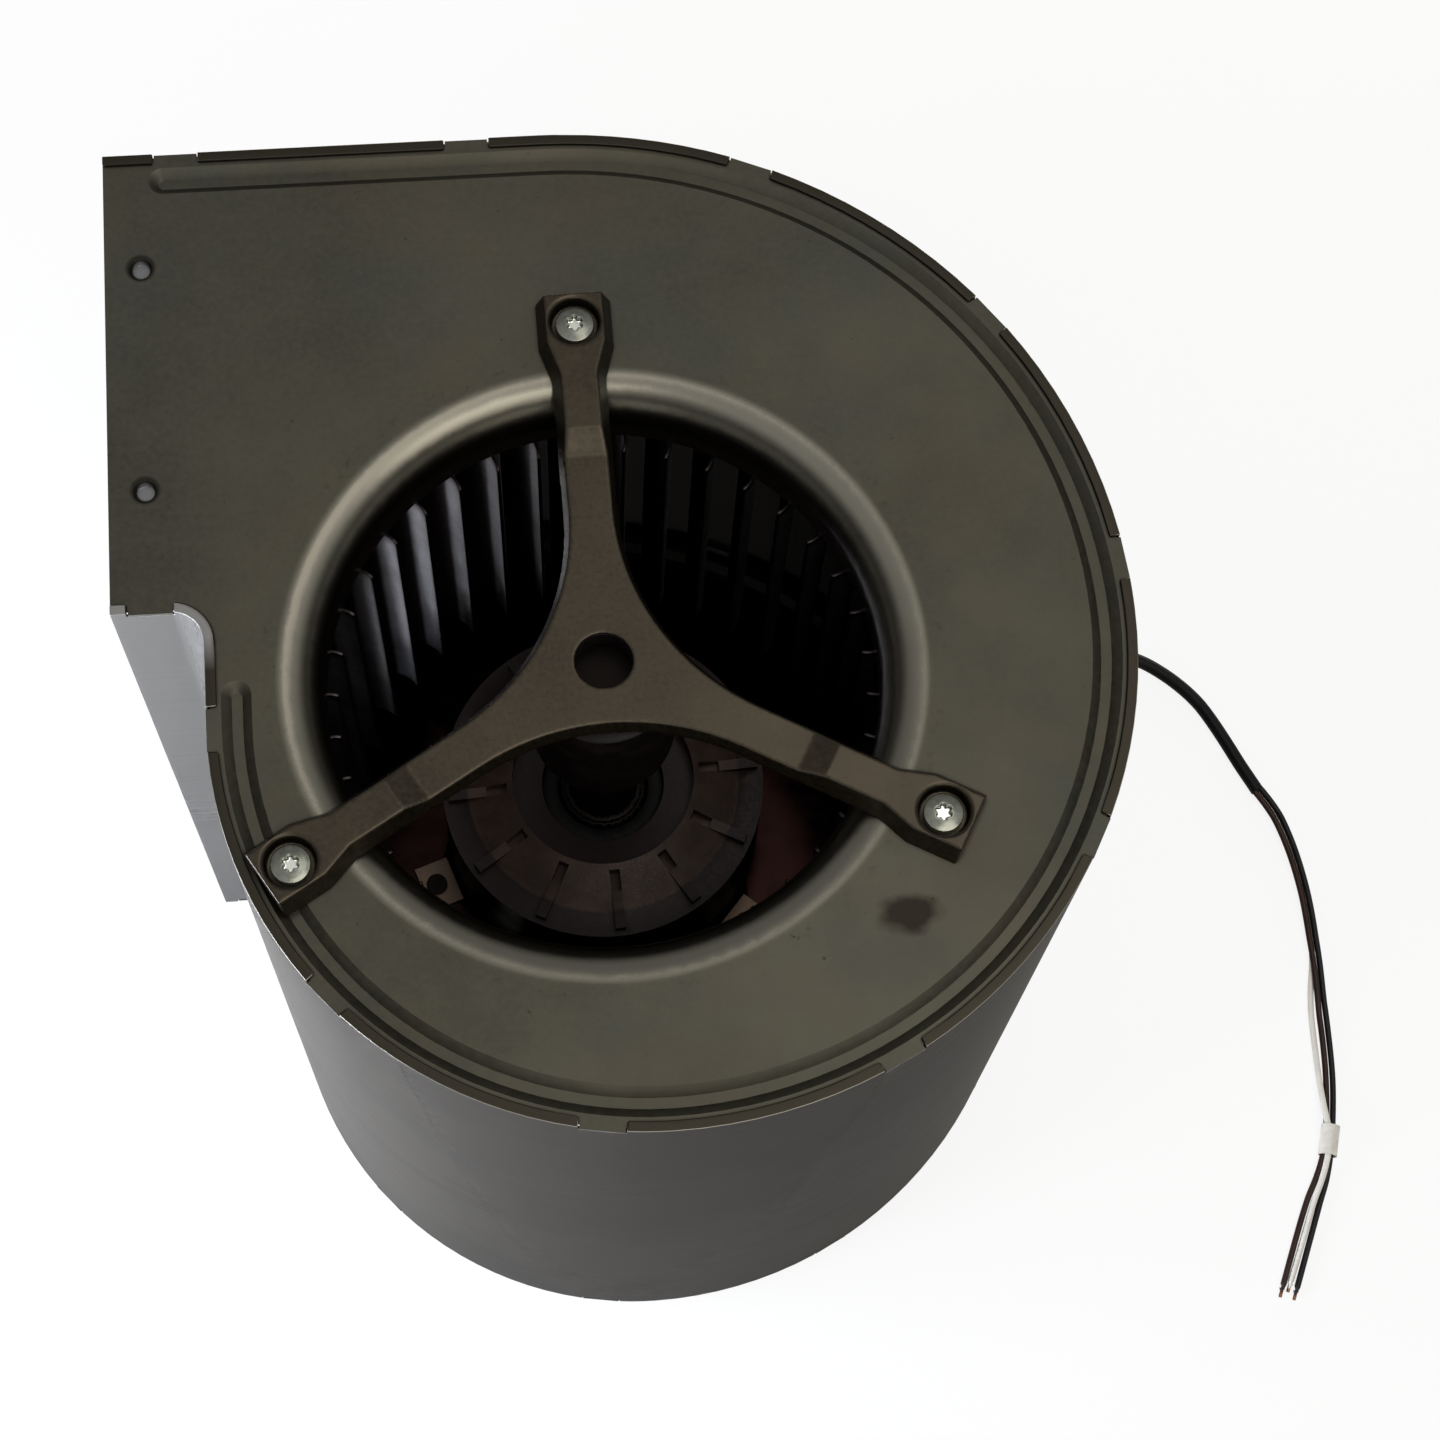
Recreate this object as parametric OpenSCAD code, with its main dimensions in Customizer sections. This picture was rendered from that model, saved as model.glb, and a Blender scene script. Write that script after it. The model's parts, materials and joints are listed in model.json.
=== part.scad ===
// Radial fan with two inlets. A scroll of bent galvanised sheet lies on its lower side, and
// a drum wheel turns in it on an external rotor motor whose fixed axle is carried between
// two three-armed brackets. The fan axis is upright, and the outlet faces -X.

/* [Scroll housing] */
// Axial width of the housing over both folded lips
housing_w = 241; // [225:1:290]
// Radius of the largest scroll arc
scroll_r = 128; // [126:0.5:140]
// Fall of the scroll radius per quarter turn
scroll_step = 15.3; // [13:0.1:16]
// Scroll centre to the right of the fan axis
scroll_dx = 0.8; // [-1.5:0.1:1.5]
// Scroll centre above the fan axis, seen from the upper side
scroll_dy = -1.7; // [-2:0.1:1]
// Fan axis to the outlet face
outlet_reach = 109.7; // [106:0.1:130]
// Height of the outlet over the sheet
outlet_h = 115.4; // [110:0.1:120]
// Bend radius of the tongue
tongue_r = 7.5; // [6:0.5:9]
// Thickness of the housing sheet
sheet_t = 0.8; // [0.7:0.1:1]
// Gap between the edge of a side plate and the wrapper
sheet_gap = 0.15; // [0.1:0.05:0.3]

/* [Rim joint] */
// Width of the wrapper's lip, folded in over the side plate
lip_w = 2.4; // [2:0.1:2.8]
// Pitch of the side plate's tabs along the rim
tab_pitch = 68.5; // [66:0.5:70]
// Outlet face to the middle of the first tab
tab_first = 17; // [12:0.5:20]
// Outlet face to the tab on the tongue
tab_tongue = 9; // [8:0.5:9.5]
// Length of a tab
tab_l = 10; // [7:0.5:11]
// How far a tab stands out past the wrapper
tab_out = 0; // [0:0.1:0.6]
// Play of a tab in its notch, at each end
tab_play = 0.3; // [0.2:0.1:1]

/* [Pressed groove] */
// Rim to the groove's outer edge
groove_in = 3.4; // [3.2:0.1:4]
// Width of the groove at the plate's face
groove_w = 6.8; // [6:0.1:8]
// Depth of the groove
groove_d = 2.2; // [1.5:0.1:3]
// Width of each sloping side
groove_run = 2.2; // [1.5:0.1:2.4]
// Outlet face to the first end of the groove
groove_start = 14; // [12:0.5:20]
// Length of the groove past the start of the scroll
groove_tail = 7.5; // [4:0.5:10]

/* [Outlet clinches] */
// Outlet face to the clinch points
clinch_in = 8.4; // [8:0.1:10]
// Distance between the two clinch points
clinch_pitch = 56; // [40:1:70]
// Radius of the clinch pit's floor
clinch_r = 2.1; // [1.8:0.1:2.5]
// Flare of the clinch pit towards its mouth
clinch_flare = 0.7; // [0.4:0.1:1]
// Depth of the clinch pit
clinch_d = 1.5; // [1.2:0.1:1.8]
// Width of the stiffening strip behind the outlet edge
strip_w = 15; // [13:0.5:18]
// Thickness of the stiffening strip
strip_t = 1; // [0.8:0.1:1.5]
// Gap from the groove's pressing to the end of the strip
strip_gap = 0.6; // [0.4:0.1:2]

/* [Inlets] */
// Circle of bracket screws to the outer edge of the rolled inlet edge
inlet_land = 10; // [9.5:0.1:13]
// Radius of the rolled inlet edge
bell_r = 10; // [7:0.5:10.5]
// Depth of the throat below the plate's face
throat_d = 15; // [13:0.5:18]

/* [Brackets] */
// Smallest scroll arc to the circle of bracket screws
screw_in = 14.4; // [13:0.1:15]
// Direction of the first arm
bracket_angle = 91; // [85:1:95]
// Height of the bracket's tabs above the side plate
bracket_h = 5.4; // [5.2:0.1:7]
// Thickness of the bracket sheet
bracket_t = 1.2; // [1:0.1:1.4]
// Drop of the hub below the tabs
hub_drop = 1.8; // [1:0.1:2]
// Width of the flat top of an arm
arm_w = 8.4; // [8:0.1:9.5]
// Width of the flat top of a tab
foot_w = 13.4; // [13:0.1:15]
// Spread of a pressed side wall over its height
wall_run = 2.2; // [1.8:0.1:2.4]
// Radius where the arm's step down to the hub ends
step_r = 50; // [48:0.5:52]
// Length of the step down
step_l = 6; // [5:0.5:8]
// Screw to the place where the arm begins to widen to its tab
neck_in = 13; // [12:0.5:14]
// Length over which the arm widens
neck_l = 8; // [6:0.5:8.5]
// Screw to the tab's end
foot_end = 7.1; // [6.8:0.1:7.2]
// Fan axis to the hub's edge between two arms
hub_web = 13.9; // [13.5:0.1:15]
// Radius of the hub's hole
hub_hole_r = 6.5; // [5.5:0.1:7]
// Radius of the pressed seat round a screw
seat_r = 5.8; // [5.6:0.1:6.2]

/* [Bracket screws] */
// Radius of the screw head
head_r = 4.5; // [4:0.1:4.8]
// Height of the screw head
head_h = 3; // [2.6:0.1:3.2]
// Radius of the screw thread
thread_r = 2; // [1.8:0.1:2.2]
// Length of the thread below the bracket sheet
thread_l = 8; // [7:0.5:10]
// Radius of the star socket over its lobes
socket_r = 1.85; // [1.6:0.05:2.1]
// Depth of the star socket
socket_d = 1.8; // [1.4:0.1:2]
// Outer radius of the drawn collar that takes the thread
collar_r = 3.2; // [3:0.1:3.6]
// Depth of the drawn collar
collar_l = 3.5; // [3:0.1:4.5]

/* [Impeller] */
// Outer radius of the wheel
wheel_r = 73; // [72:0.5:75]
// Number of blades on each side of the disc
blades = 38; // [30:1:40]
// Direction of the first blade
blade_first = 100.6; // [95:0.1:105]
// Radial depth of a blade
blade_depth = 12.5; // [11:0.1:13]
// Forward lean of a blade's tip about the axis
blade_lean = 6; // [5:0.1:6.5]
// Radius of a blade's curve
blade_curve = 9.5; // [9:0.1:11]
// Thickness of a blade
blade_t = 0.8; // [0.6:0.1:1]
// Axial gap between the throat and the wheel
wheel_gap = 3.2; // [2.5:0.1:5]
// Thickness of the wheel's disc
disc_t = 1.2; // [1:0.1:1.6]
// Radial width of a wheel's end ring
ring_w = 7; // [6:0.5:9]
// Thickness of an end ring
ring_t = 1.2; // [1:0.1:2]
// Directions of the three fixing lugs, from the first
lug_angle = 199; // [190:1:210]
// Direction of the balance weight
weight_angle = 226; // [220:1:240]

/* [Motor] */
// Outer radius of the rotor shell
rotor_r = 40; // [39.5:0.1:41]
// Thickness of the rotor shell
shell_t = 2.2; // [2:0.1:2.5]
// Half the length of the rotor
rotor_half = 33.5; // [33:0.5:36]
// Inner radius of the finned ring
fin_r0 = 22.5; // [22.3:0.1:23.5]
// Outer radius of the finned ring
fin_r1 = 35.6; // [35:0.1:37]
// Rise of the finned ring to its inner edge
fin_rise = 4; // [3:0.1:5]
// Number of fins
fins = 12; // [10:1:14]
// Width of a fin
fin_w = 2.6; // [2:0.1:3]
// Direction of the first fin
fin_angle = -87; // [-90:1:-80]
// Radius of the fixed axle
axle_r = 8.5; // [8.4:0.1:8.6]
// Radius of the axle's bore
bore_r = 4; // [3.6:0.1:4.5]
// Outer radius of a bearing
bearing_r = 17.5; // [17.3:0.1:17.8]
// Width of a bearing
bearing_w = 10; // [9:0.5:10.5]
// Number of balls in a bearing
balls = 9; // [7:1:10]
// Radius of the stator
stator_r = 30; // [29.5:0.1:30.2]
// Half the height of the stator core
stator_half = 17; // [15:0.5:17]
// Number of stator slots
slots = 12; // [8:1:14]
// Air gap between stator and rotor
air_gap = 0.5; // [0.4:0.05:0.6]
// Gap in a fixed round fit
fit_gap = 0.02; // [0.01:0.01:0.05]

/* [Axle seats] */
// Outer radius of the seat's cup
cup_r = 17; // [16:0.5:18]
// Length of the cup below the hub
cup_l = 44; // [40:1:48]
// Wall of the cup
cup_t = 1.5; // [1.2:0.1:2]
// Radius of the cup's neck in the hub
cup_neck_r = 11.5; // [11:0.5:12]
// Gap from the neck's face to the end of the axle
axle_end_gap = 8; // [7:0.5:10]

/* [Cable] */
// Diameter of the black sleeve
sleeve_d = 4; // [3.6:0.1:4]
// Diameter of one lead
lead_d = 1.8; // [1.4:0.1:1.8]
// Height of the cable's exit from the axle
exit_z = 62; // [60:0.5:64]
// Length of the strain relief outside the axle
relief_l = 17.6; // [17.6:0.1:18]
// Radius of the strain relief at the axle
relief_r = 3.5; // [3.2:0.1:3.6]
// Length of the white band round the leads
band_l = 9; // [6:0.5:12]

/* [Hidden] */
$fn = 96;
eps = 0.01;
// Reach of a cut past the face it opens
past = 1;

// Scroll arcs by the square method, from the right side to the top and back to the left
arc1 = [scroll_dx - scroll_step / 2, scroll_dy + scroll_step / 2];
arc2 = [scroll_dx + scroll_step / 2, scroll_dy + scroll_step / 2];
arc3 = [scroll_dx + scroll_step / 2, scroll_dy - scroll_step / 2];
r1 = scroll_r;
r2 = scroll_r - scroll_step;
r3 = scroll_r - 2 * scroll_step;
y_top = arc1.y + r1;
y_low = arc2.y - r2;
x_right = arc2.x + r2;
x_left = arc3.x - r3;
y_out = y_top - outlet_h;
tongue = [x_left - tongue_r, y_out - tongue_r];
y_mid_out = (y_top + y_out) / 2;

// Outlet's inner corner to the end of the stiffening strip
strip_end = groove_in + groove_w + 2 * sheet_t + strip_gap;

// Lengths of the wrapper's stretches, in order from the upper outlet edge
len1 = outlet_reach + arc1.x;
len2 = r1 * PI / 2;
len3 = r2 * PI / 2;
len4 = r3 * PI / 2;
len5 = tongue.y - arc3.y;
len6 = tongue_r * PI / 2;
len7 = outlet_reach + tongue.x;
end2 = len1 + len2;
end3 = end2 + len3;
end4 = end3 + len4;
end5 = end4 + len5;
end6 = end5 + len6;
end7 = end6 + len7;

// The part stands on the lower bracket's tabs, with its box centred on the origin
axis_x = -(x_right - outlet_reach) / 2;
axis_y = -(y_top + y_low) / 2;
z_plate_lo = bracket_h;
z_lip_lo = z_plate_lo - sheet_t;
z_lip_up = z_lip_lo + housing_w;
z_plate_up = z_lip_up - sheet_t;
z_mid = (z_lip_lo + z_lip_up) / 2;

// Heights measured from the middle plane
plate_half = z_plate_up - z_mid;
wheel_half = plate_half - throat_d - wheel_gap;

// Inlet and bracket, laid out inwards from the smallest scroll arc
screw_circle = r3 - screw_in;
throat_r = screw_circle - inlet_land - bell_r;
neck_r = screw_circle - neck_in;
foot_r = screw_circle + foot_end;

// Rim tabs, by their distance along the wrapper
tab_count = floor((end5 - tab_first - tab_l) / tab_pitch) + 1;
tab_places = [for (i = [0 : tab_count - 1]) tab_first + i * tab_pitch, end7 - tab_tongue];

// Bracket hub: each concave side is a cone tangent to both of its arms
hub_reach = (hub_web - arm_w / 2) / (1 - cos(30));
hub_cut_r = hub_reach * cos(30) - arm_w / 2;
hub_top = bracket_h - hub_drop;
hub_under = hub_top - bracket_t;
seat_wall = 0.4;
seat_chamfer = 0.6;
hole_play = 0.2;

// Screw head: the star socket's lobes stand on a circle round its core
socket_core = 0.75 * socket_r;
socket_lobe = 0.3 * socket_r;
dome_r = 3 * head_r;

// Blade curve: its centre lies ahead of the chord from foot to tip
foot = [wheel_r - blade_depth, 0];
tip = wheel_r * [cos(blade_lean), sin(blade_lean)];
chord = norm(tip - foot);
ahead = [-(tip - foot).y, (tip - foot).x] / chord;
curve_c = (foot + tip) / 2 + ahead * sqrt(pow(blade_curve, 2) - pow(chord / 2, 2));

// Motor levels from the middle plane
bearing_in = 3;
bearing_top = rotor_half - bearing_in;
bearing_low = bearing_top - bearing_w;
bearing_lip = 2.3;
bearing_ring_in = 1;
race_w = 2.6;
race_groove_d = 0.6;
seal_t = 1;
seal_in = 0.6;
seal_play = 0.3;
ball_r = (bearing_r - axle_r) / 2 - race_w + race_groove_d;
core_r = stator_r + air_gap;
shell_in = rotor_r - shell_t;
slot_w = 5.2;
slot_l = 4;
slot_mouth = 1.6;
slot_liner = 0.1;
winding_h = 8;
winding_r0 = 23.4;
winding_r1 = stator_r - 1.5;
insulator_t = 1.5;
insulator_in = 1;
insulator_bore = 2;
cage_h = 6;
cage_in = 0.5;
shield_t = 4.5;
hub_tube_r = fin_r0 - 0.5;
fin_mid = (fin_r0 + fin_r1) / 2;
fin_in = 1.5;
fin_out = 3;
fin_top = 2.4;
flange_r = 50;
flange_t = 2;
clip_t = 1;
lug_w = 12;
lug_t = 1.2;
lug_in = 1;
rivet_circle = flange_r - 4;
rivet_r = 1.6;
rivet_head_r = 2.6;
rivet_h = 1.2;
ring_r = wheel_r + 0.6;
weight_size = [6, 8, 2];
weight_in = 2;

// Axle ends and cup, measured inward from the plate's face
neck_low = 3;
bush_top = 9;
bush_play = 1;
bush_end = 2;
clip_in = 0.8;
clip_w = 2;
wire_hole_r = 1.2;
axle_inset = axle_end_gap - hub_under;
cup_end = cup_l - hub_under;

// Cable route in the fan's own frame, from the strain relief along the floor to the right
cable_angle = 28;
relief_tip = axle_r + relief_l;
relief_root = 1;
relief_wall = 0.6;
sleeve_straight = 5;
floor_gap = 0.05;
cable_z = sleeve_d / 2 + floor_gap;
lead_z = lead_d / 2 + floor_gap;
lead_over = lead_z + 0.85 * lead_d;
sleeve_out = [cos(cable_angle), sin(cable_angle), 0];
sleeve_start = relief_tip * sleeve_out + [0, 0, exit_z];
sleeve_route = [
    sleeve_start, sleeve_start + sleeve_straight * sleeve_out, [35.5, 18.9, 58.5], [40.7, 21.6, 51.5],
    [42.5, 22.6, 42], [42.5, 22.6, 30], [44, 23.4, 20.5], [49.5, 26.4, 10.5], [56.5, 30, 5], [67, 35.6, 2.4],
    [78, 41.5, cable_z], [92, 49, cable_z], [112, 59.5, cable_z], [135, 70.5, cable_z], [152, 78, cable_z],
    [164, 79.5, cable_z], [175, 74, cable_z], [186.5, 62, cable_z], [196, 43, cable_z], [200.5, 34, cable_z]
];
black_route = [
    [201.4, 34.5, 2.6], [206.2, 26, lead_over], [209.6, 13.6, lead_over], [211.5, 0, lead_over],
    [212, -12, lead_over], [212.2, -22, 2.1], [212.2, -32, lead_z], [212.1, -44, lead_z],
    [211.3, -58, lead_z], [208.5, -74, 2.1], [206, -84, lead_z], [203.3, -90.5, lead_z],
    [199.2, -100.4, lead_z], [191.6, -118.8, lead_z]
];
brown_route = [
    [199.6, 33.5, 2.6], [204.2, 25.2, lead_over], [207.6, 13.2, lead_over], [209.5, 0, lead_over],
    [210, -12, 2.55], [210.2, -21, 2.8], [210.2, -29, 2.2], [210.2, -37, lead_z], [210.1, -46, lead_z],
    [209.3, -58, lead_z], [206.7, -73.6, 2.1], [203.2, -83.2, lead_z], [199.7, -89.6, lead_z],
    [195.2, -99.6, lead_z], [187.7, -117.7, lead_z]
];
white_route = [
    [200.5, 34, 1], [205.2, 25.6, lead_z], [208.6, 13.4, lead_z], [210.5, 0, lead_z], [211, -11, lead_z],
    [210.2, -20, lead_z], [208.7, -28, lead_z], [207.8, -36, lead_z], [207.6, -46, lead_z],
    [207.4, -56, 1.7], [207.4, -64, 3.2], [207.6, -73.8, 3.8], [204.6, -83.8, 2.3], [201.5, -90.2, 1.4],
    [197.2, -100.2, lead_z], [190.1, -116.4, lead_z]
];
band_mid = [207.6, -73.8, 2.8];
band_turn = -104;
band_r = 2.75;
band_t = 0.3;

// Placing

module at_axis() {
    translate([axis_x, axis_y, 0]) children();
}

// A piece built on the outer face of a side plate, its inside towards -Z
module upper_side() {
    at_axis() translate([0, 0, z_plate_up]) children();
}

module lower_side() {
    at_axis() translate([0, 0, z_plate_lo]) mirror([0, 0, 1]) children();
}

// A piece built about the middle plane of the fan
module at_middle() {
    at_axis() translate([0, 0, z_mid]) children();
}

module both_ends() {
    children();
    mirror([0, 0, 1]) children();
}

module at_screws() {
    for (i = [0 : 2]) {
        rotate(bracket_angle + 120 * i) translate([screw_circle, 0, 0]) children();
    }
}

// Scroll outline

// Place and heading on the wrapper's outer face, a distance s from the upper outlet edge
function arc_place(c, r, a) = [c + r * [cos(a), sin(a)], a - 90];
function rim_place(s) =
    s < len1 ? [[s - outlet_reach, y_top], 0]
    : s < end2 ? arc_place(arc1, r1, 90 - (s - len1) / r1 * 180 / PI)
    : s < end3 ? arc_place(arc2, r2, -(s - end2) / r2 * 180 / PI)
    : s < end4 ? arc_place(arc3, r3, -90 - (s - end3) / r3 * 180 / PI)
    : s < end5 ? [[x_left, arc3.y + s - end4], 90]
    : s < end6 ? [tongue + tongue_r * [cos((s - end5) / tongue_r * 180 / PI),
                                       sin((s - end5) / tongue_r * 180 / PI)],
                  90 + (s - end5) / tongue_r * 180 / PI]
    : [[tongue.x - (s - end6), y_out], 180];

module at_rim(s) {
    place = rim_place(s);
    translate([place[0].x, place[0].y, 0]) rotate(place[1]) children();
}

module quarter(c, r, turn) {
    translate(c) rotate(turn) intersection() {
        circle(r);
        square(r + past);
    }
}

// Area of a side plate, kept a distance d inside the wrapper's outer face
module scroll_area(d) {
    quarter(arc1, r1 - d, 0);
    quarter(arc2, r2 - d, -90);
    quarter(arc3, r3 - d, 180);
    translate([x_left + d, arc3.y]) square([arc2.x - x_left - d, arc2.y - arc3.y]);
    translate([x_left + d, arc2.y]) square([arc1.x - x_left - d, y_top - d - arc2.y]);
    translate([-outlet_reach, y_out + d]) square([outlet_reach + arc1.x, outlet_h - 2 * d]);
    translate(tongue) difference() {
        square(tongue_r + d + past);
        circle(tongue_r + d);
    }
}

module inward(r) {
    translate([r, 0]) mirror([1, 0]) children();
}

module straight(end, turn, length) {
    translate([end.x, end.y, 0]) rotate(turn) rotate([90, 0, -90]) linear_extrude(length) children();
}

// Sweep of a section along the scroll. The section's x runs inward from the outer face
module scroll_sweep(x_from, y_to) {
    straight([arc1.x, y_top], 0, arc1.x - x_from) children();
    translate(arc1) rotate_extrude(angle = 90) inward(r1) children();
    translate(arc2) rotate(-90) rotate_extrude(angle = 90) inward(r2) children();
    translate(arc3) rotate(180) rotate_extrude(angle = 90) inward(r3) children();
    straight([x_left, y_to], 90, y_to - arc3.y) children();
}

module tongue_sweep() {
    translate(tongue) rotate_extrude(angle = 90) translate([tongue_r, 0]) children();
    straight([-outlet_reach, y_out], 180, len7) children();
}

// Side plates

// Sizes to a hundredth, so that the groove's stretches and round ends meet exactly
function hundredth(v) = round(100 * v) / 100;

module groove_section(low, grow) {
    rise = hundredth(groove_run * low / groove_d);
    polygon([
        [groove_in - grow, 0], [groove_in - grow + rise, -low],
        [groove_in + groove_w + grow - rise, -low], [groove_in + groove_w + grow, 0]
    ]);
}

// Half of a round pit, with its open side towards -Y
module half_turn(top_r, floor_r, low) {
    rotate_extrude(angle = 180) polygon([[0, 0], [0, -low], [floor_r, -low], [top_r, 0]]);
}

// The groove's form with its round ends, to a depth below the plate's face
module groove_form(low, grow) {
    mid = groove_in + groove_w / 2;
    half = groove_w / 2 + grow;
    rise = hundredth(groove_run * low / groove_d);
    y_end = arc3.y + groove_tail;
    scroll_sweep(groove_start - outlet_reach, y_end) groove_section(low, grow);
    translate([groove_start - outlet_reach, y_top - mid]) rotate(90) half_turn(half, half - rise, low);
    translate([x_left + mid, y_end]) half_turn(half, half - rise, low);
}

module bell() {
    rim = throat_r + bell_r;
    rotate_extrude() {
        translate([rim, -bell_r]) intersection() {
            difference() {
                circle(bell_r);
                circle(bell_r - sheet_t);
            }
            translate([-bell_r - past, 0]) square(bell_r + past);
        }
        translate([throat_r, -throat_d]) square([sheet_t, throat_d - bell_r]);
    }
}

// Form of a clinch pit, or of the sheet drawn down round it
module clinch_pit(skin) {
    translate([0, 0, -clinch_d]) {
        cylinder(r1 = clinch_r + skin, r2 = clinch_r + clinch_flare + skin, h = clinch_d);
    }
}

module at_clinches() {
    for (i = [-1, 1]) {
        translate([clinch_in - outlet_reach, y_mid_out + i * clinch_pitch / 2, 0]) children();
    }
}

module side_plate() {
    grow = hundredth(sheet_t * norm([groove_run, groove_d]) / groove_d);
    difference() {
        union() {
            translate([0, 0, -sheet_t]) linear_extrude(sheet_t) difference() {
                scroll_area(sheet_t + sheet_gap);
                circle(throat_r + bell_r);
            }
            for (s = tab_places) {
                at_rim(s) translate([-tab_l / 2, -lip_w, -sheet_t]) cube([tab_l, lip_w + tab_out, sheet_t]);
            }
            groove_form(groove_d + sheet_t, grow);
            bell();
            at_screws() translate([0, 0, -collar_l]) cylinder(r = collar_r, h = collar_l);
            at_clinches() translate([0, 0, -sheet_t]) clinch_pit(sheet_t);
        }
        groove_form(groove_d, 0);
        at_screws() translate([0, 0, -collar_l - past]) {
            cylinder(r = thread_r + fit_gap, h = collar_l + 2 * past);
        }
        at_clinches() clinch_pit(0);
    }
}

module side_plate_upper() {
    color("#4f4b42") upper_side() side_plate();
}

module side_plate_lower() {
    color("#4f4b42") lower_side() side_plate();
}

// Wrapper and outlet

module wrapper_section() {
    polygon([
        [0, z_lip_lo], [lip_w, z_lip_lo], [lip_w, z_plate_lo], [sheet_t, z_plate_lo],
        [sheet_t, z_plate_up], [lip_w, z_plate_up], [lip_w, z_lip_up], [0, z_lip_up]
    ]);
}

module tab_notch() {
    depth = 2 * sheet_t + tab_play;
    translate([-tab_l / 2 - tab_play, -lip_w - past, -depth + sheet_t]) {
        cube([tab_l + 2 * tab_play, lip_w + 2 * past, depth + past]);
    }
}

module scroll_wrapper() {
    color("#7d7f80") at_axis() difference() {
        union() {
            scroll_sweep(-outlet_reach, tongue.y) wrapper_section();
            tongue_sweep() wrapper_section();
        }
        for (s = tab_places) {
            translate([0, 0, z_plate_up]) at_rim(s) tab_notch();
            translate([0, 0, z_plate_lo]) mirror([0, 0, 1]) at_rim(s) tab_notch();
        }
    }
}

module outlet_strip() {
    translate([-outlet_reach, y_out + strip_end, -sheet_t - strip_t]) difference() {
        cube([strip_w, outlet_h - 2 * strip_end, strip_t]);
        translate([outlet_reach, -y_out - strip_end, -past]) {
            at_clinches() cylinder(r = clinch_r + clinch_flare + sheet_t, h = strip_t + 2 * past);
        }
    }
}

module outlet_strip_upper() {
    color("#8a8c8c") upper_side() outlet_strip();
}

module outlet_strip_lower() {
    color("#8a8c8c") lower_side() outlet_strip();
}

// Brackets

// Section of a pressed channel, kept a skin's thickness inside
module channel_section(width, skin) {
    top = width / 2 - skin;
    polygon([[-top - wall_run, 0], [top + wall_run, 0], [top, bracket_h], [-top, bracket_h]]);
}

module channel(from, to, width, skin) {
    translate([from, 0, 0]) rotate([90, 0, 90]) linear_extrude(to - from) channel_section(width, skin);
}

// The bracket's pressed form. With a skin it is the hollow under the sheet
module bracket_form(skin) {
    low = hub_top - skin;
    high = bracket_h - skin;
    intersection() {
        union() {
            for (i = [0 : 2]) {
                rotate(bracket_angle + 120 * i) {
                    channel(0, neck_r, arm_w, skin);
                    hull() {
                        channel(neck_r - eps, neck_r, arm_w, skin);
                        channel(neck_r + neck_l, neck_r + neck_l + eps, foot_w, skin);
                    }
                    channel(neck_r + neck_l, foot_r - skin, foot_w, skin);
                }
            }
            difference() {
                cylinder(r = hub_reach / 2, h = bracket_h);
                for (i = [0 : 2]) {
                    rotate(bracket_angle + 60 + 120 * i) translate([hub_reach, 0, 0]) {
                        cylinder(r1 = hub_cut_r - wall_run + skin, r2 = hub_cut_r + skin, h = bracket_h);
                    }
                }
            }
        }
        rotate_extrude() {
            polygon([
                [0, 0], [foot_r + past, 0], [foot_r + past, high],
                [step_r + step_l, high], [step_r, low], [0, low]
            ]);
        }
    }
}

module bracket() {
    difference() {
        union() {
            difference() {
                bracket_form(0);
                bracket_form(bracket_t);
            }
            at_screws() cylinder(r = seat_r + seat_wall, h = bracket_h);
        }
        at_screws() {
            translate([0, 0, bracket_t]) cylinder(r = seat_r, h = bracket_h);
            translate([0, 0, bracket_h - seat_chamfer]) {
                cylinder(r1 = seat_r, r2 = seat_r + 2 * seat_chamfer, h = 2 * seat_chamfer);
            }
            translate([0, 0, -past]) cylinder(r = thread_r + hole_play, h = bracket_h);
        }
        translate([0, 0, -past]) cylinder(r = hub_hole_r, h = bracket_h + 2 * past);
    }
}

module bracket_upper() {
    color("#5a4f40") upper_side() bracket();
}

module bracket_lower() {
    color("#5a4f40") lower_side() bracket();
}

module screw() {
    translate([0, 0, -thread_l]) cylinder(r = thread_r, h = thread_l + eps);
    difference() {
        intersection() {
            cylinder(r = head_r, h = head_h);
            translate([0, 0, head_h - dome_r]) sphere(dome_r);
        }
        translate([0, 0, head_h - socket_d]) linear_extrude(head_h) {
            circle(socket_core);
            for (i = [0 : 5]) {
                rotate(60 * i) translate([socket_core, 0]) circle(socket_lobe);
            }
        }
    }
}

module bracket_screws() {
    at_screws() translate([0, 0, bracket_t]) screw();
}

module bracket_screws_upper() {
    color("#8b8d84") upper_side() bracket_screws();
}

module bracket_screws_lower() {
    color("#8b8d84") lower_side() bracket_screws();
}

// Axle and its seats

module axle_cup() {
    in = cup_r - cup_t;
    rotate_extrude() polygon([
        [hub_hole_r, hub_under], [cup_neck_r, hub_under], [cup_neck_r, -neck_low],
        [cup_r, -neck_low - cup_t], [cup_r, -cup_end], [in, -cup_end], [in, -bush_top],
        [hub_hole_r, -axle_inset + cup_t]
    ]);
}

module axle_cup_upper() {
    color("#33302c") upper_side() axle_cup();
}

module axle_cup_lower() {
    color("#33302c") lower_side() axle_cup();
}

module rubber_bush() {
    length = cup_end - bush_end - bush_top - bush_play;
    translate([0, 0, bush_end - cup_end]) difference() {
        cylinder(r = cup_r - cup_t - fit_gap, h = length);
        translate([0, 0, -past]) cylinder(r = axle_r + fit_gap, h = length + 2 * past);
    }
}

module rubber_bush_upper() {
    color("#1c1c1c") upper_side() rubber_bush();
}

module rubber_bush_lower() {
    color("#1c1c1c") lower_side() rubber_bush();
}

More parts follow.
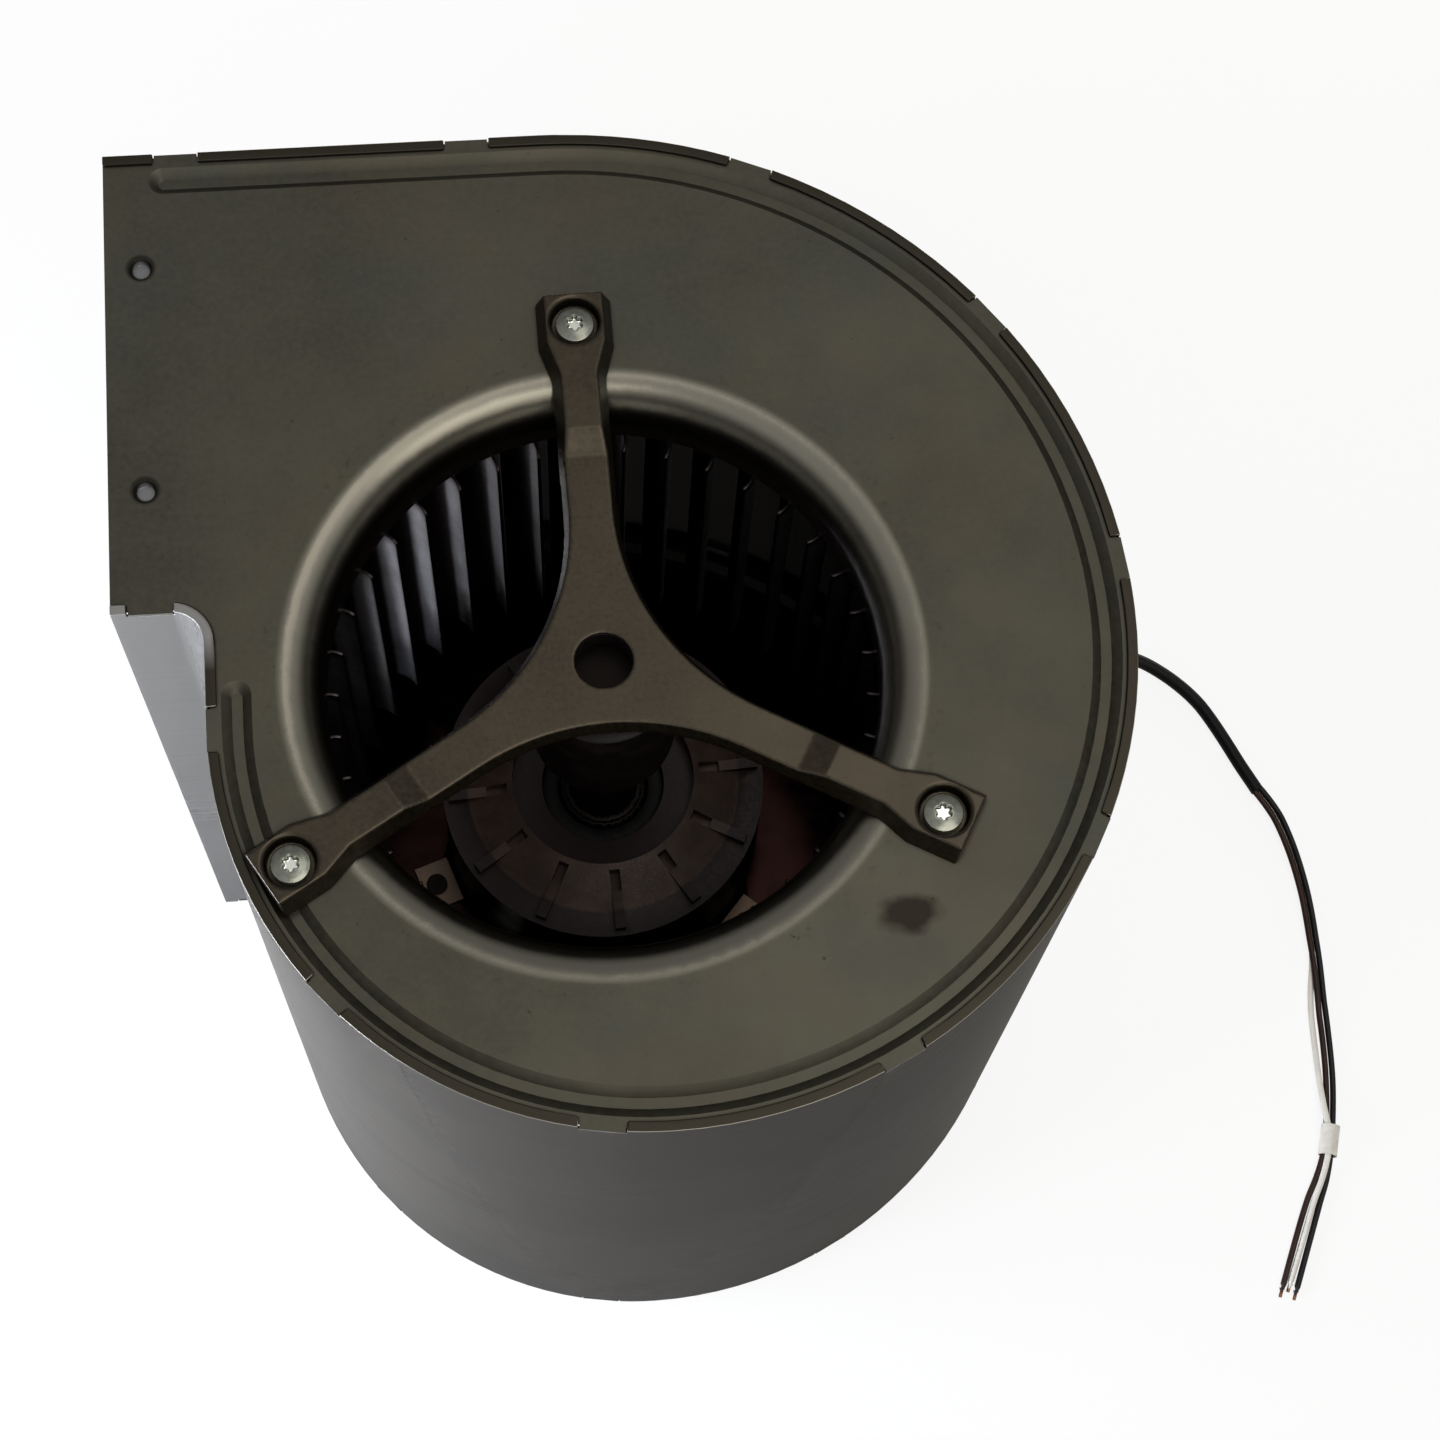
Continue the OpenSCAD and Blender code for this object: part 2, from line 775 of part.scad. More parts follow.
module clip_groove(grow) {
    both_ends() for (z = [bearing_low - clip_t, bearing_top]) {
        translate([0, 0, z - grow]) rotate_extrude() {
            translate([axle_r - clip_in - grow, 0]) square([clip_w + 2 * grow, clip_t + 2 * grow]);
        }
    }
}

module axle() {
    half = plate_half - axle_inset;
    color("#6d6f70") at_middle() difference() {
        translate([0, 0, -half]) cylinder(r = axle_r, h = 2 * half);
        translate([0, 0, -half - past]) cylinder(r = bore_r, h = half + past);
        translate([0, 0, exit_z - z_mid]) rotate(cable_angle) rotate([0, 90, 0]) {
            cylinder(r = relief_r + fit_gap, h = axle_r + past);
        }
        translate([0, 0, -stator_half - insulator_t - wire_hole_r]) rotate([0, 90, 0]) {
            cylinder(r = wire_hole_r, h = axle_r + past);
        }
        clip_groove(fit_gap);
    }
}

module axle_circlips() {
    color("#a9abac") at_middle() clip_groove(0);
}

// Stator

module at_slots() {
    for (i = [0 : slots - 1]) {
        rotate(360 / slots * (i + 0.5)) children();
    }
}

module slot_area(gap) {
    at_slots() translate([winding_r0 - gap, -slot_w / 2 - gap]) {
        square([slot_l + 2 * gap, slot_w + 2 * gap]);
    }
}

module stator_core() {
    color("#5c5e60") at_middle() linear_extrude(2 * stator_half, center = true) difference() {
        circle(stator_r);
        circle(axle_r + fit_gap);
        slot_area(slot_liner);
        at_slots() translate([winding_r0, -slot_mouth / 2]) square([stator_r, slot_mouth]);
    }
}

module stator_insulators() {
    color("#d9d2bd") at_middle() both_ends() translate([0, 0, stator_half]) {
        linear_extrude(insulator_t) difference() {
            circle(stator_r - insulator_in);
            circle(axle_r + insulator_bore);
            slot_area(slot_liner);
        }
    }
}

module stator_windings() {
    reach = stator_half + insulator_t;
    color("#b36b32") at_middle() {
        translate([0, 0, -reach]) linear_extrude(2 * reach) slot_area(0);
        both_ends() translate([0, 0, reach]) rotate_extrude() {
            translate([winding_r0, 0]) square([winding_r1 - winding_r0, winding_h]);
        }
    }
}

// Bearings

module race(from, to) {
    groove_r = (axle_r + bearing_r) / 2;
    rotate_extrude() difference() {
        translate([from, bearing_low]) square([to - from, bearing_w]);
        translate([groove_r, bearing_low + bearing_w / 2]) circle(ball_r + fit_gap);
    }
}

module bearing_inner_races() {
    color("#b9bbbc") at_middle() both_ends() race(axle_r + fit_gap, axle_r + race_w);
}

module bearing_outer_races() {
    color("#b9bbbc") at_middle() both_ends() race(bearing_r - race_w, bearing_r - fit_gap);
}

module bearing_balls() {
    color("#c9cbcc") at_middle() both_ends() for (i = [0 : balls - 1]) {
        rotate(360 / balls * i) {
            translate([(axle_r + bearing_r) / 2, 0, bearing_low + bearing_w / 2]) sphere(ball_r);
        }
    }
}

module bearing_seals() {
    from = axle_r + race_w + seal_play;
    to = bearing_r - race_w - fit_gap;
    color("#1c1c1c") at_middle() both_ends() rotate_extrude() {
        translate([from, bearing_low + seal_in]) square([to - from, seal_t]);
        translate([from, bearing_top - seal_in - seal_t]) square([to - from, seal_t]);
    }
}

// Rotor

module rotor_shell() {
    reach = rotor_half - shield_t;
    color("#2b2927") at_middle() difference() {
        rotate_extrude() {
            translate([shell_in, -reach]) square([shell_t, 2 * reach]);
            translate([rotor_r - eps, -disc_t / 2 - flange_t]) square([flange_r - rotor_r + eps, flange_t]);
        }
        at_rivets() translate([0, 0, -disc_t - flange_t]) {
            cylinder(r = rivet_r + fit_gap, h = disc_t + flange_t);
        }
    }
}

module rotor_core() {
    color("#55575a") at_middle() linear_extrude(2 * stator_half, center = true) difference() {
        circle(shell_in - fit_gap);
        circle(core_r);
    }
}

module rotor_cage() {
    color("#b4b6b5") at_middle() both_ends() translate([0, 0, stator_half]) {
        linear_extrude(cage_h) difference() {
            circle(shell_in - fit_gap);
            circle(core_r + cage_in);
        }
    }
}

// Cast shield with the bearing's seat, a raised ring and fins
module end_shield() {
    low = rotor_half - shield_t;
    ring_z = rotor_half - bearing_ring_in;
    difference() {
        union() {
            rotate_extrude() polygon([
                [bearing_r - bearing_lip, bearing_top], [bearing_r - bearing_lip, ring_z], [fin_r0, ring_z],
                [fin_r0, rotor_half + fin_rise], [fin_r1, rotor_half], [rotor_r, rotor_half],
                [rotor_r, low], [hub_tube_r, low], [hub_tube_r, bearing_low], [bearing_r, bearing_low],
                [bearing_r, bearing_top]
            ]);
            for (i = [0 : fins - 1]) {
                rotate(fin_angle + 360 / fins * i) translate([fin_mid, -fin_w / 2, low]) {
                    cube([fin_r1 + fin_out - fin_mid, fin_w, shield_t + fin_top]);
                }
            }
        }
        for (i = [0 : fins - 1]) {
            rotate(fin_angle + 360 / fins * i) translate([fin_r0 + fin_in, -fin_w / 2, rotor_half]) {
                cube([fin_mid - fin_r0 - fin_in, fin_w, fin_rise + past]);
            }
        }
    }
}

module end_shield_upper() {
    color("#8d8478") at_middle() end_shield();
}

module end_shield_lower() {
    color("#8d8478") at_middle() mirror([0, 0, 1]) end_shield();
}

// Impeller

module impeller_disc() {
    color("#4a4947") at_middle() translate([0, 0, -disc_t / 2]) linear_extrude(disc_t) difference() {
        circle(wheel_r);
        circle(rotor_r + fit_gap);
        at_rivets() circle(rivet_r + fit_gap);
    }
}

module blade_area() {
    to_foot = foot - curve_c;
    to_tip = tip - curve_c;
    translate(curve_c) intersection() {
        difference() {
            circle(blade_curve);
            circle(blade_curve - blade_t);
        }
        polygon([[0, 0], 2 * to_foot, 2 * (to_foot + to_tip), 2 * to_tip]);
    }
}

module blade_row() {
    length = wheel_half - ring_t - disc_t / 2;
    translate([0, 0, disc_t / 2]) for (i = [0 : blades - 1]) {
        rotate(blade_first + 360 / blades * i) linear_extrude(length) blade_area();
    }
}

module impeller_blades_upper() {
    color("#8f9192") at_middle() blade_row();
}

module impeller_blades_lower() {
    color("#8f9192") at_middle() mirror([0, 0, 1]) blade_row();
}

module end_ring() {
    translate([0, 0, wheel_half - ring_t]) linear_extrude(ring_t) difference() {
        circle(ring_r);
        circle(ring_r - ring_w);
    }
}

module impeller_ring_upper() {
    color("#77797a") at_middle() end_ring();
}

module impeller_ring_lower() {
    color("#77797a") at_middle() mirror([0, 0, 1]) end_ring();
}

module at_lugs() {
    for (i = [0 : 2]) {
        rotate(lug_angle + 120 * i) children();
    }
}

module at_rivets() {
    at_lugs() translate([rivet_circle, 0, 0]) children();
}

module fixing_lugs() {
    color("#6f6a60") at_middle() translate([0, 0, disc_t / 2]) linear_extrude(lug_t) difference() {
        at_lugs() translate([rotor_r + lug_in, -lug_w / 2]) square([flange_r - rotor_r - lug_in, lug_w]);
        at_rivets() circle(rivet_r + fit_gap);
    }
}

module lug_rivets() {
    under = disc_t / 2 + flange_t;
    over = disc_t / 2 + lug_t;
    color("#9a9b98") at_middle() at_rivets() {
        translate([0, 0, -under]) cylinder(r = rivet_r, h = under + over);
        translate([0, 0, over]) cylinder(r = rivet_head_r, h = rivet_h);
        translate([0, 0, -under - rivet_h]) cylinder(r = rivet_head_r, h = rivet_h);
    }
}

module balance_weight() {
    color("#8a8374") at_middle() rotate(weight_angle) {
        translate([rotor_r + weight_in, -weight_size.y / 2, disc_t / 2]) cube(weight_size);
    }
}

// Cable

// Smooth route through the points, with one more point on the curve between each two
function mid_point(p, i) = (9 * (p[i] + p[i + 1]) - p[max(i - 1, 0)] - p[min(i + 2, len(p) - 1)]) / 16;
function lifted(m, z) = [m.x, m.y, max(m.z, z)];
function smooth(p) = [
    for (i = [0 : len(p) - 2]) each [p[i], lifted(mid_point(p, i), min(p[i].z, p[i + 1].z))],
    p[len(p) - 1]
];
function unit(v) = v / norm(v);
function heading(p, i) = unit(p[min(i + 1, len(p) - 1)] - p[max(i - 1, 0)]);
function side_of(d) = abs(d.z) < 0.9 ? unit(cross(d, [0, 0, 1])) : [sin(cable_angle), -cos(cable_angle), 0];

// Tube along a route, with a ring of points at each of its places
module tube(route, r, sides) {
    points = [
        for (i = [0 : len(route) - 1])
            let (d = heading(route, i), s = side_of(d), u = cross(s, d))
            for (j = [0 : sides - 1]) route[i] + r * (cos(360 / sides * j) * s + sin(360 / sides * j) * u)
    ];
    last = len(route) - 1;
    faces = [
        [for (j = [0 : sides - 1]) j],
        for (i = [0 : last - 1], j = [0 : sides - 1])
            let (k = (j + 1) % sides)
            [i * sides + j, (i + 1) * sides + j, (i + 1) * sides + k, i * sides + k],
        [for (j = [sides - 1 : -1 : 0]) last * sides + j]
    ];
    polyhedron(points, faces);
}

module strain_relief() {
    color("#161616") at_axis() translate([0, 0, exit_z]) rotate(cable_angle) rotate([0, 90, 0]) {
        translate([0, 0, bore_r]) cylinder(r = relief_r, h = axle_r - bore_r + relief_root);
        translate([0, 0, axle_r + relief_root - eps]) {
            cylinder(r1 = relief_r, r2 = sleeve_d / 2 + relief_wall, h = relief_l - relief_root + eps);
        }
    }
}

module cable_sleeve() {
    color("#121212") at_axis() tube(smooth(sleeve_route), sleeve_d / 2, 10);
}

module lead_black() {
    color("#17171a") at_axis() tube(smooth(black_route), lead_d / 2, 8);
}

module lead_brown() {
    color("#3a241a") at_axis() tube(smooth(brown_route), lead_d / 2, 8);
}

module lead_white() {
    color("#cfcdc6") at_axis() tube(smooth(white_route), lead_d / 2, 8);
}

module lead_band() {
    color("#dcdad2") at_axis() translate(band_mid) rotate(band_turn) rotate([0, 90, 0]) {
        translate([0, 0, -band_l / 2]) difference() {
            cylinder(r = band_r, h = band_l);
            translate([0, 0, -past]) cylinder(r = band_r - band_t, h = band_l + 2 * past);
        }
    }
}

side_plate_upper();
side_plate_lower();
scroll_wrapper();
outlet_strip_upper();
outlet_strip_lower();
bracket_upper();
bracket_lower();
bracket_screws_upper();
bracket_screws_lower();
axle_cup_upper();
axle_cup_lower();
rubber_bush_upper();
rubber_bush_lower();
axle();
axle_circlips();
stator_core();
stator_insulators();
stator_windings();
bearing_inner_races();
strain_relief();
rotor_shell();
rotor_core();
rotor_cage();
end_shield_upper();
end_shield_lower();
bearing_outer_races();
bearing_balls();
bearing_seals();
impeller_disc();
impeller_blades_upper();
impeller_blades_lower();
impeller_ring_upper();
impeller_ring_lower();
fixing_lugs();
lug_rivets();
balance_weight();
cable_sleeve();
lead_black();
lead_brown();
lead_white();
lead_band();
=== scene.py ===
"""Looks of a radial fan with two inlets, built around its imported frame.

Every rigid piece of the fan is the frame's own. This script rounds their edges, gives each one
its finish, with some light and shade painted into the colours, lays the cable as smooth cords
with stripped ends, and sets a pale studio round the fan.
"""

import json
import math

import bmesh
import bpy
from mathutils import Matrix, Vector


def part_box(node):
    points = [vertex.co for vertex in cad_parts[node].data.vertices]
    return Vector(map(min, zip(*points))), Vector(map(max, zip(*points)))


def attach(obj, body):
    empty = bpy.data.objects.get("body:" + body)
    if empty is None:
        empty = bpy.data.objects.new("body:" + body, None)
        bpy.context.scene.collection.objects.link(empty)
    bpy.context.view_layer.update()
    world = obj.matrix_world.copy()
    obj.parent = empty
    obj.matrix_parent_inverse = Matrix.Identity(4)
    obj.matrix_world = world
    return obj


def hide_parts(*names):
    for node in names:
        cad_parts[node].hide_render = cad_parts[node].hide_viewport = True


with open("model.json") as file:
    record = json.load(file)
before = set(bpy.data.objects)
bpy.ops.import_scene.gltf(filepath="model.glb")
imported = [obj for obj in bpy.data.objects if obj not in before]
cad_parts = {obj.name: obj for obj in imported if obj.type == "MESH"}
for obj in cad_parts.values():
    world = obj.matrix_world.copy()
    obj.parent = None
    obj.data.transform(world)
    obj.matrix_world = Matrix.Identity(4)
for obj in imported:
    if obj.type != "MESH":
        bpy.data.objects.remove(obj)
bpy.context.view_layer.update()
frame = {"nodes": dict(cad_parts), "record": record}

MM = 0.001

# Read from the frame, in metres: the fan's axis, its middle between the side plates, and how far
# the screws and the blades reach above that middle
FAN_AXIS = Vector(frame["record"]["behaviour"]["joints"][0]["pos_m"])
FAN_MIDDLE = (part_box("side_plate_upper")[1].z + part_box("side_plate_lower")[0].z) / 2
SCREW_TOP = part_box("bracket_screws_upper")[1].z - FAN_MIDDLE
BLADE_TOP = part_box("impeller_blades_upper")[1].z - FAN_MIDDLE

# Camera, found from the rim, the outlet edge and the bracket screws of the photograph
CAMERA_AT = Vector((-22.8, -257.6, 930.5)) * MM
CAMERA_RIGHT = Vector((0.9965, -0.0752, 0.0361))
CAMERA_UP = Vector((0.0597, 0.9455, 0.3201))
SENSOR = 36.0
FOCAL = 81.04
CLIP_NEAR, CLIP_FAR = 0.01, 50.0

# Studio: size of the floor in metres, how much of its white shows past its shadows, to the eye
# and in metal, and the level of the sky
FLOOR_SIZE = 6.0
FLOOR_ROUGHNESS = 0.9
FLOOR_WHITE = 0.85
FLOOR_WHITE_IN_METAL = 0.1
SKY_LEVEL = 0.22

# Side that the studio's white dims away from in metal, how far it dims there, and the cosines to
# that side where it is dim and where it is full
BRIGHT_SIDE = Vector((0.15, -0.6, 0.78)).normalized()
DIM_SIDE_WHITE = 0.5
DIM_COSINE, FULL_COSINE = 0.2, 0.6

# Softboxes: place, the point that they face, width and height, all in metres, then watts and tint
SOFTBOXES = {
    "softbox_outlet": ((-0.36, -0.16, 0.12), (0, 0, 0.1), (0.3, 0.2), 4.6, "#eaf1ff"),
    "softbox_top": ((0.4, -0.6, 1.5), (0, 0, 0.24), (0.9, 0.9), 9.0, "#fffaf2"),
    "softbox_back": ((0.25, 0.22, 1.4), (0.05, -0.05, 0.24), (0.5, 0.5), 1.6, "#fffaf2"),
    "softbox_rear": ((0.05, 0.85, 0.12), (0, 0, 0.12), (1.2, 0.2), 7.0, "#fffaf2"),
    "softbox_front": ((0.1, -1.2, 0.62), (0, 0, 0.24), (1.1, 0.7), 3.2, "#fffaf2"),
}

# Cable in millimetres: it lies a small gap above the floor, and a lead that lies over its
# neighbours rises by a share of its diameter
FLOOR_GAP = 0.05
SLEEVE_D = 4.0
LEAD_D = 1.8
RISE_SHARE = 0.85
SLEEVE_Z = SLEEVE_D / 2 + FLOOR_GAP
LEAD_Z = LEAD_D / 2 + FLOOR_GAP
LEAD_OVER = LEAD_Z + RISE_SHARE * LEAD_D

# Where the sleeve leaves the strain relief: direction, distance from the axis, height above the
# floor, and how far it runs straight, in millimetres
SLEEVE_ANGLE = math.radians(28)
RELIEF_TIP = 26.1
EXIT_Z = 62.0
SLEEVE_STRAIGHT = 5.0
SLEEVE_OUT = Vector((math.cos(SLEEVE_ANGLE), math.sin(SLEEVE_ANGLE), 0))
SLEEVE_START = RELIEF_TIP * SLEEVE_OUT + Vector((0, 0, EXIT_Z))

# Cable routes in millimetres from the fan's axis and from the floor
SLEEVE_ROUTE = [
    SLEEVE_START, SLEEVE_START + SLEEVE_STRAIGHT * SLEEVE_OUT, (35.5, 18.9, 58.5),
    (40.7, 21.6, 51.5), (42.5, 22.6, 42), (42.5, 22.6, 30), (44, 23.4, 20.5), (49.5, 26.4, 10.5),
    (56.5, 30, 5), (67, 35.6, 2.4), (78, 41.5, SLEEVE_Z), (92, 49, SLEEVE_Z),
    (112, 59.5, SLEEVE_Z), (135, 70.5, SLEEVE_Z), (152, 78, SLEEVE_Z), (164, 79.5, SLEEVE_Z),
    (175, 74, SLEEVE_Z), (186.5, 62, SLEEVE_Z), (196, 43, SLEEVE_Z), (200.5, 34, SLEEVE_Z),
]
LEAD_ROUTES = {
    "lead_black": [
        (201.4, 34.5, 2.6), (206.2, 26, LEAD_OVER), (209.6, 13.6, LEAD_OVER),
        (211.5, 0, LEAD_OVER), (212, -12, LEAD_OVER), (212.2, -22, 2.1), (212.2, -32, LEAD_Z),
        (212.1, -44, LEAD_Z), (211.3, -58, LEAD_Z), (208.5, -74, 2.1), (206, -84, LEAD_Z),
        (203.3, -90.5, LEAD_Z), (199.2, -100.4, LEAD_Z), (191.6, -118.8, LEAD_Z),
    ],
    "lead_brown": [
        (199.6, 33.5, 2.6), (204.2, 25.2, LEAD_OVER), (207.6, 13.2, LEAD_OVER),
        (209.5, 0, LEAD_OVER), (210, -12, 2.55), (210.2, -21, 2.8), (210.2, -29, 2.2),
        (210.2, -37, LEAD_Z), (210.1, -46, LEAD_Z), (209.3, -58, LEAD_Z), (206.7, -73.6, 2.1),
        (203.2, -83.2, LEAD_Z), (199.7, -89.6, LEAD_Z), (195.2, -99.6, LEAD_Z),
        (187.7, -117.7, LEAD_Z),
    ],
    "lead_white": [
        (200.5, 34, 1), (205.2, 25.6, LEAD_Z), (208.6, 13.4, LEAD_Z), (210.5, 0, LEAD_Z),
        (211, -11, LEAD_Z), (210.2, -20, LEAD_Z), (208.7, -28, LEAD_Z), (207.8, -36, LEAD_Z),
        (207.6, -46, LEAD_Z), (207.4, -56, 1.7), (207.4, -64, 3.2), (207.6, -73.8, 3.8),
        (204.6, -83.8, 2.3), (201.5, -90.2, 1.4), (197.2, -100.2, LEAD_Z), (190.1, -116.4, LEAD_Z),
    ],
}
# How often a route is refined, and how finely a cord is rounded
ROUTE_ROUNDS = 3
CORD_STEPS = 5

# Stripped ends of the leads in millimetres: the strand's diameter, how far it shows, and how far
# it starts inside the lead
STRAND_D = 1.0
STRIPPED = 2.6
STRAND_INSIDE = 1.0

# Rings about the fan's axis, as radii in millimetres. On the rolled inlet edge: the polished
# part, the painted shade in its well, the painted shade on the foot of the edge and the
# painted highlight on its crest
BELL_IN, BELL_OUT = 61.0, 73.0
WELL_SHADE = 65.0
FOOT_SHADE_IN, FOOT_SHADE_OUT = 65.9, 67.5
CREST_LIGHT_IN, CREST_LIGHT_OUT = 68.0, 72.6
# Scuffs beside the inlet, the bare ring of the end shields, and the part of the blades with
# painted light
SCUFF_IN, SCUFF_OUT = 75.0, 77.0
CAST_IN, CAST_OUT = 22.4, 33.8
BLADE_FOOT, BLADE_LIT_OUT = 61.2, 66.8

# Depths below a top in millimetres: where the painted shade on the blades' tops is full and
# where it ends, and where the painted glint on the screws' socket floors begins and is full
TOP_SHADE_FULL, TOP_SHADE_END = 1.0, 4.0
SOCKET_FROM, SOCKET_FULL = 1.0, 1.3

# Stain on the upper plate, which the lower one shows too because it shares the finish: its place,
# half its length and width, the grain of its outline and how far that wanders, in millimetres
STAIN_AT = Vector((57.5, -75.3, 0)) * MM
STAIN_HALF = (7.0, 4.5)
STAIN_GRAIN = 6.0
STAIN_WANDER = 5.0

# Outlet in millimetres from the fan's axis: its middle line, then the line, pitch and radius of its
# clinch pits, and the width of the painted shade round them and of their walls
OUTLET_MIDDLE = 76.7
CLINCH_X, CLINCH_PITCH, CLINCH_R = -101.3, 56.0, 2.1
CLINCH_SHADE, CLINCH_WALL = 1.3, 0.1
OUTLET_HEART = Vector((FAN_AXIS.x + CLINCH_X * MM, FAN_AXIS.y + OUTLET_MIDDLE * MM, 0))
# Where the wrapper turns from scroll to outlet, along x
OUTLET_FROM, OUTLET_FULL = -60.0, -75.0
# Painted light on the tongue below the outlet: where it begins and is full above the axis, how
# far below the middle line it is full, and its share
TONGUE_FROM, TONGUE_FULL = 4.0, 12.0
TONGUE_DROP = 20.0
TONGUE_SHARE = 0.8

# How far off the heart of the air's way a face of the wrapper has to stand before it counts as
# outer or inner side, from and to, in millimetres
SIDE_FROM, SIDE_FULL = 2.0, 8.0

# How far dirt and painted shade reach out of a joint, in millimetres
JOINT_REACH = 2.0

# Share of bare metal in the plates
PLATE_METAL = 0.85

# Sockets of Blender's mix node, in its colour form and its number form
FACTOR = 0
COLOUR_A, COLOUR_B, COLOUR_OUT = 6, 7, 2
NUMBER_A, NUMBER_B, NUMBER_OUT = 2, 3, 0


def linear(code):
    """Linear colour of an sRGB hex code."""
    parts = [int(code[i:i + 2], 16) / 255 for i in (1, 3, 5)]
    return [c / 12.92 if c <= 0.04045 else ((c + 0.055) / 1.055) ** 2.4 for c in parts] + [1.0]


def add(tree, kind, inputs=None, **settings):
    """A new node of a tree. Each input is a value, or a socket to link from."""
    made = tree.nodes.new(kind)
    for name, value in settings.items():
        setattr(made, name, value)
    for name, value in (inputs or {}).items():
        if isinstance(value, bpy.types.NodeSocket):
            tree.links.new(value, made.inputs[name])
        else:
            made.inputs[name].default_value = value
    return made


def start_material(name, metallic):
    """A material with its shader, and the place on the fan that its patterns follow."""
    made = bpy.data.materials.new(name)
    made.use_nodes = True
    tree = made.node_tree
    shader = tree.nodes["Principled BSDF"]
    shader.inputs["Metallic"].default_value = metallic
    at = add(tree, "ShaderNodeTexCoord").outputs["Object"]
    return made, tree, shader, at


def cloudy(tree, at, size, low, high, share=1.0):
    """Soft patches of a size in metres, rising from 0 to a share between two noise levels."""
    noise = add(tree, "ShaderNodeTexNoise", {
        "Vector": at, "Scale": 1 / size, "Detail": 5.0, "Roughness": 0.6,
    })
    return add(tree, "ShaderNodeMapRange", {
        "Value": noise.outputs["Fac"], "From Min": low, "From Max": high, "To Max": share,
    }).outputs["Result"]


def rolled_lines(tree, at, across, along, share=1.0):
    """Fine lines that the rolling mill leaves: short across them, long along them, in metres."""
    squeezed = add(tree, "ShaderNodeVectorMath", {
        0: at, 1: [1 / s for s in (along, along, across)],
    }, operation="MULTIPLY")
    noise = add(tree, "ShaderNodeTexNoise", {
        "Vector": squeezed.outputs["Vector"], "Scale": 1.0, "Detail": 3.0, "Roughness": 0.7,
    })
    return add(tree, "ShaderNodeMapRange", {
        "Value": noise.outputs["Fac"], "From Min": 0.3, "From Max": 0.7, "To Max": share,
    }).outputs["Result"]


def axis_reach(tree, at):
    """How far a place is from the fan's axis, in metres."""
    flat = add(tree, "ShaderNodeVectorMath", {
        0: at, 1: (1, 1, 0), 2: (-FAN_AXIS.x, -FAN_AXIS.y, 0),
    }, operation="MULTIPLY_ADD").outputs["Vector"]
    return add(tree, "ShaderNodeVectorMath", {0: flat}, operation="LENGTH").outputs["Value"]


def ring(tree, reach, inner, outer, soft, share=1.0):
    """A ring between two radii, with soft edges, from 0 to a share. All lengths in metres."""
    rise = add(tree, "ShaderNodeMapRange", {
        "Value": reach, "From Min": inner - soft, "From Max": inner + soft, "To Max": share,
    })
    fall = add(tree, "ShaderNodeMapRange", {
        "Value": reach, "From Min": outer + soft, "From Max": outer - soft,
    })
    return add(tree, "ShaderNodeMath", {
        0: rise.outputs["Result"], 1: fall.outputs["Result"],
    }, operation="MULTIPLY").outputs[0]


def joint_dirt_and_shade(tree, share):
    """Dirt and painted shade in narrow joints and corners, up to a share."""
    open_sky = add(tree, "ShaderNodeAmbientOcclusion", {"Distance": JOINT_REACH * MM}, samples=8)
    return add(tree, "ShaderNodeMapRange", {
        "Value": open_sky.outputs["AO"], "From Min": 0.8, "From Max": 0.5, "To Max": share,
    }).outputs["Result"]


def facing_up(tree):
    """How far a face looks up along the fan's axis: -1 straight down, 1 straight up."""
    normal = add(tree, "ShaderNodeNewGeometry").outputs["Normal"]
    return add(tree, "ShaderNodeSeparateXYZ", {0: normal}).outputs["Z"]


def upright(tree):
    """How far a face looks along the fan's axis, whichever way."""
    return add(tree, "ShaderNodeMath", {0: facing_up(tree)}, operation="ABSOLUTE").outputs[0]


def above_middle(tree, at):
    """How far a place is above the fan's middle, in metres."""
    level = add(tree, "ShaderNodeSeparateXYZ", {0: at}).outputs["Z"]
    return add(tree, "ShaderNodeMath", {0: level, 1: FAN_MIDDLE}, operation="SUBTRACT").outputs[0]


def from_middle(tree, at):
    """How far a place is from the fan's middle along its axis, in metres."""
    above = above_middle(tree, at)
    return add(tree, "ShaderNodeMath", {0: above}, operation="ABSOLUTE").outputs[0]


def inner_side(tree, at):
    """1 on faces that look towards the fan's middle along its axis."""
    side = add(tree, "ShaderNodeMath", {0: above_middle(tree, at)}, operation="SIGN")
    outward = add(tree, "ShaderNodeMath", {
        0: facing_up(tree), 1: side.outputs[0],
    }, operation="MULTIPLY")
    return add(tree, "ShaderNodeMapRange", {
        "Value": outward.outputs[0], "From Min": -0.1, "From Max": -0.5,
    }).outputs["Result"]


def coats(tree, shader, ground, *layers):
    """Gives the shader a ground colour, with each further colour over it where its mask says."""
    tone = linear(ground)
    for mask, colour in layers:
        tone = add(tree, "ShaderNodeMix", {
            FACTOR: mask, COLOUR_A: tone, COLOUR_B: linear(colour),
        }, data_type="RGBA").outputs[COLOUR_OUT]
    tree.links.new(tone, shader.inputs["Base Color"])


def surface(tree, shader, height, strength, depth, gloss=None, rough=None):
    """Gives the shader a relief of a depth in metres, and a roughness between two by a mask."""
    bump = add(tree, "ShaderNodeBump", {"Height": height, "Strength": strength, "Distance": depth})
    tree.links.new(bump.outputs["Normal"], shader.inputs["Normal"])
    if rough:
        spread = add(tree, "ShaderNodeMapRange", {
            "Value": gloss, "To Min": rough[0], "To Max": rough[1],
        })
        tree.links.new(spread.outputs["Result"], shader.inputs["Roughness"])


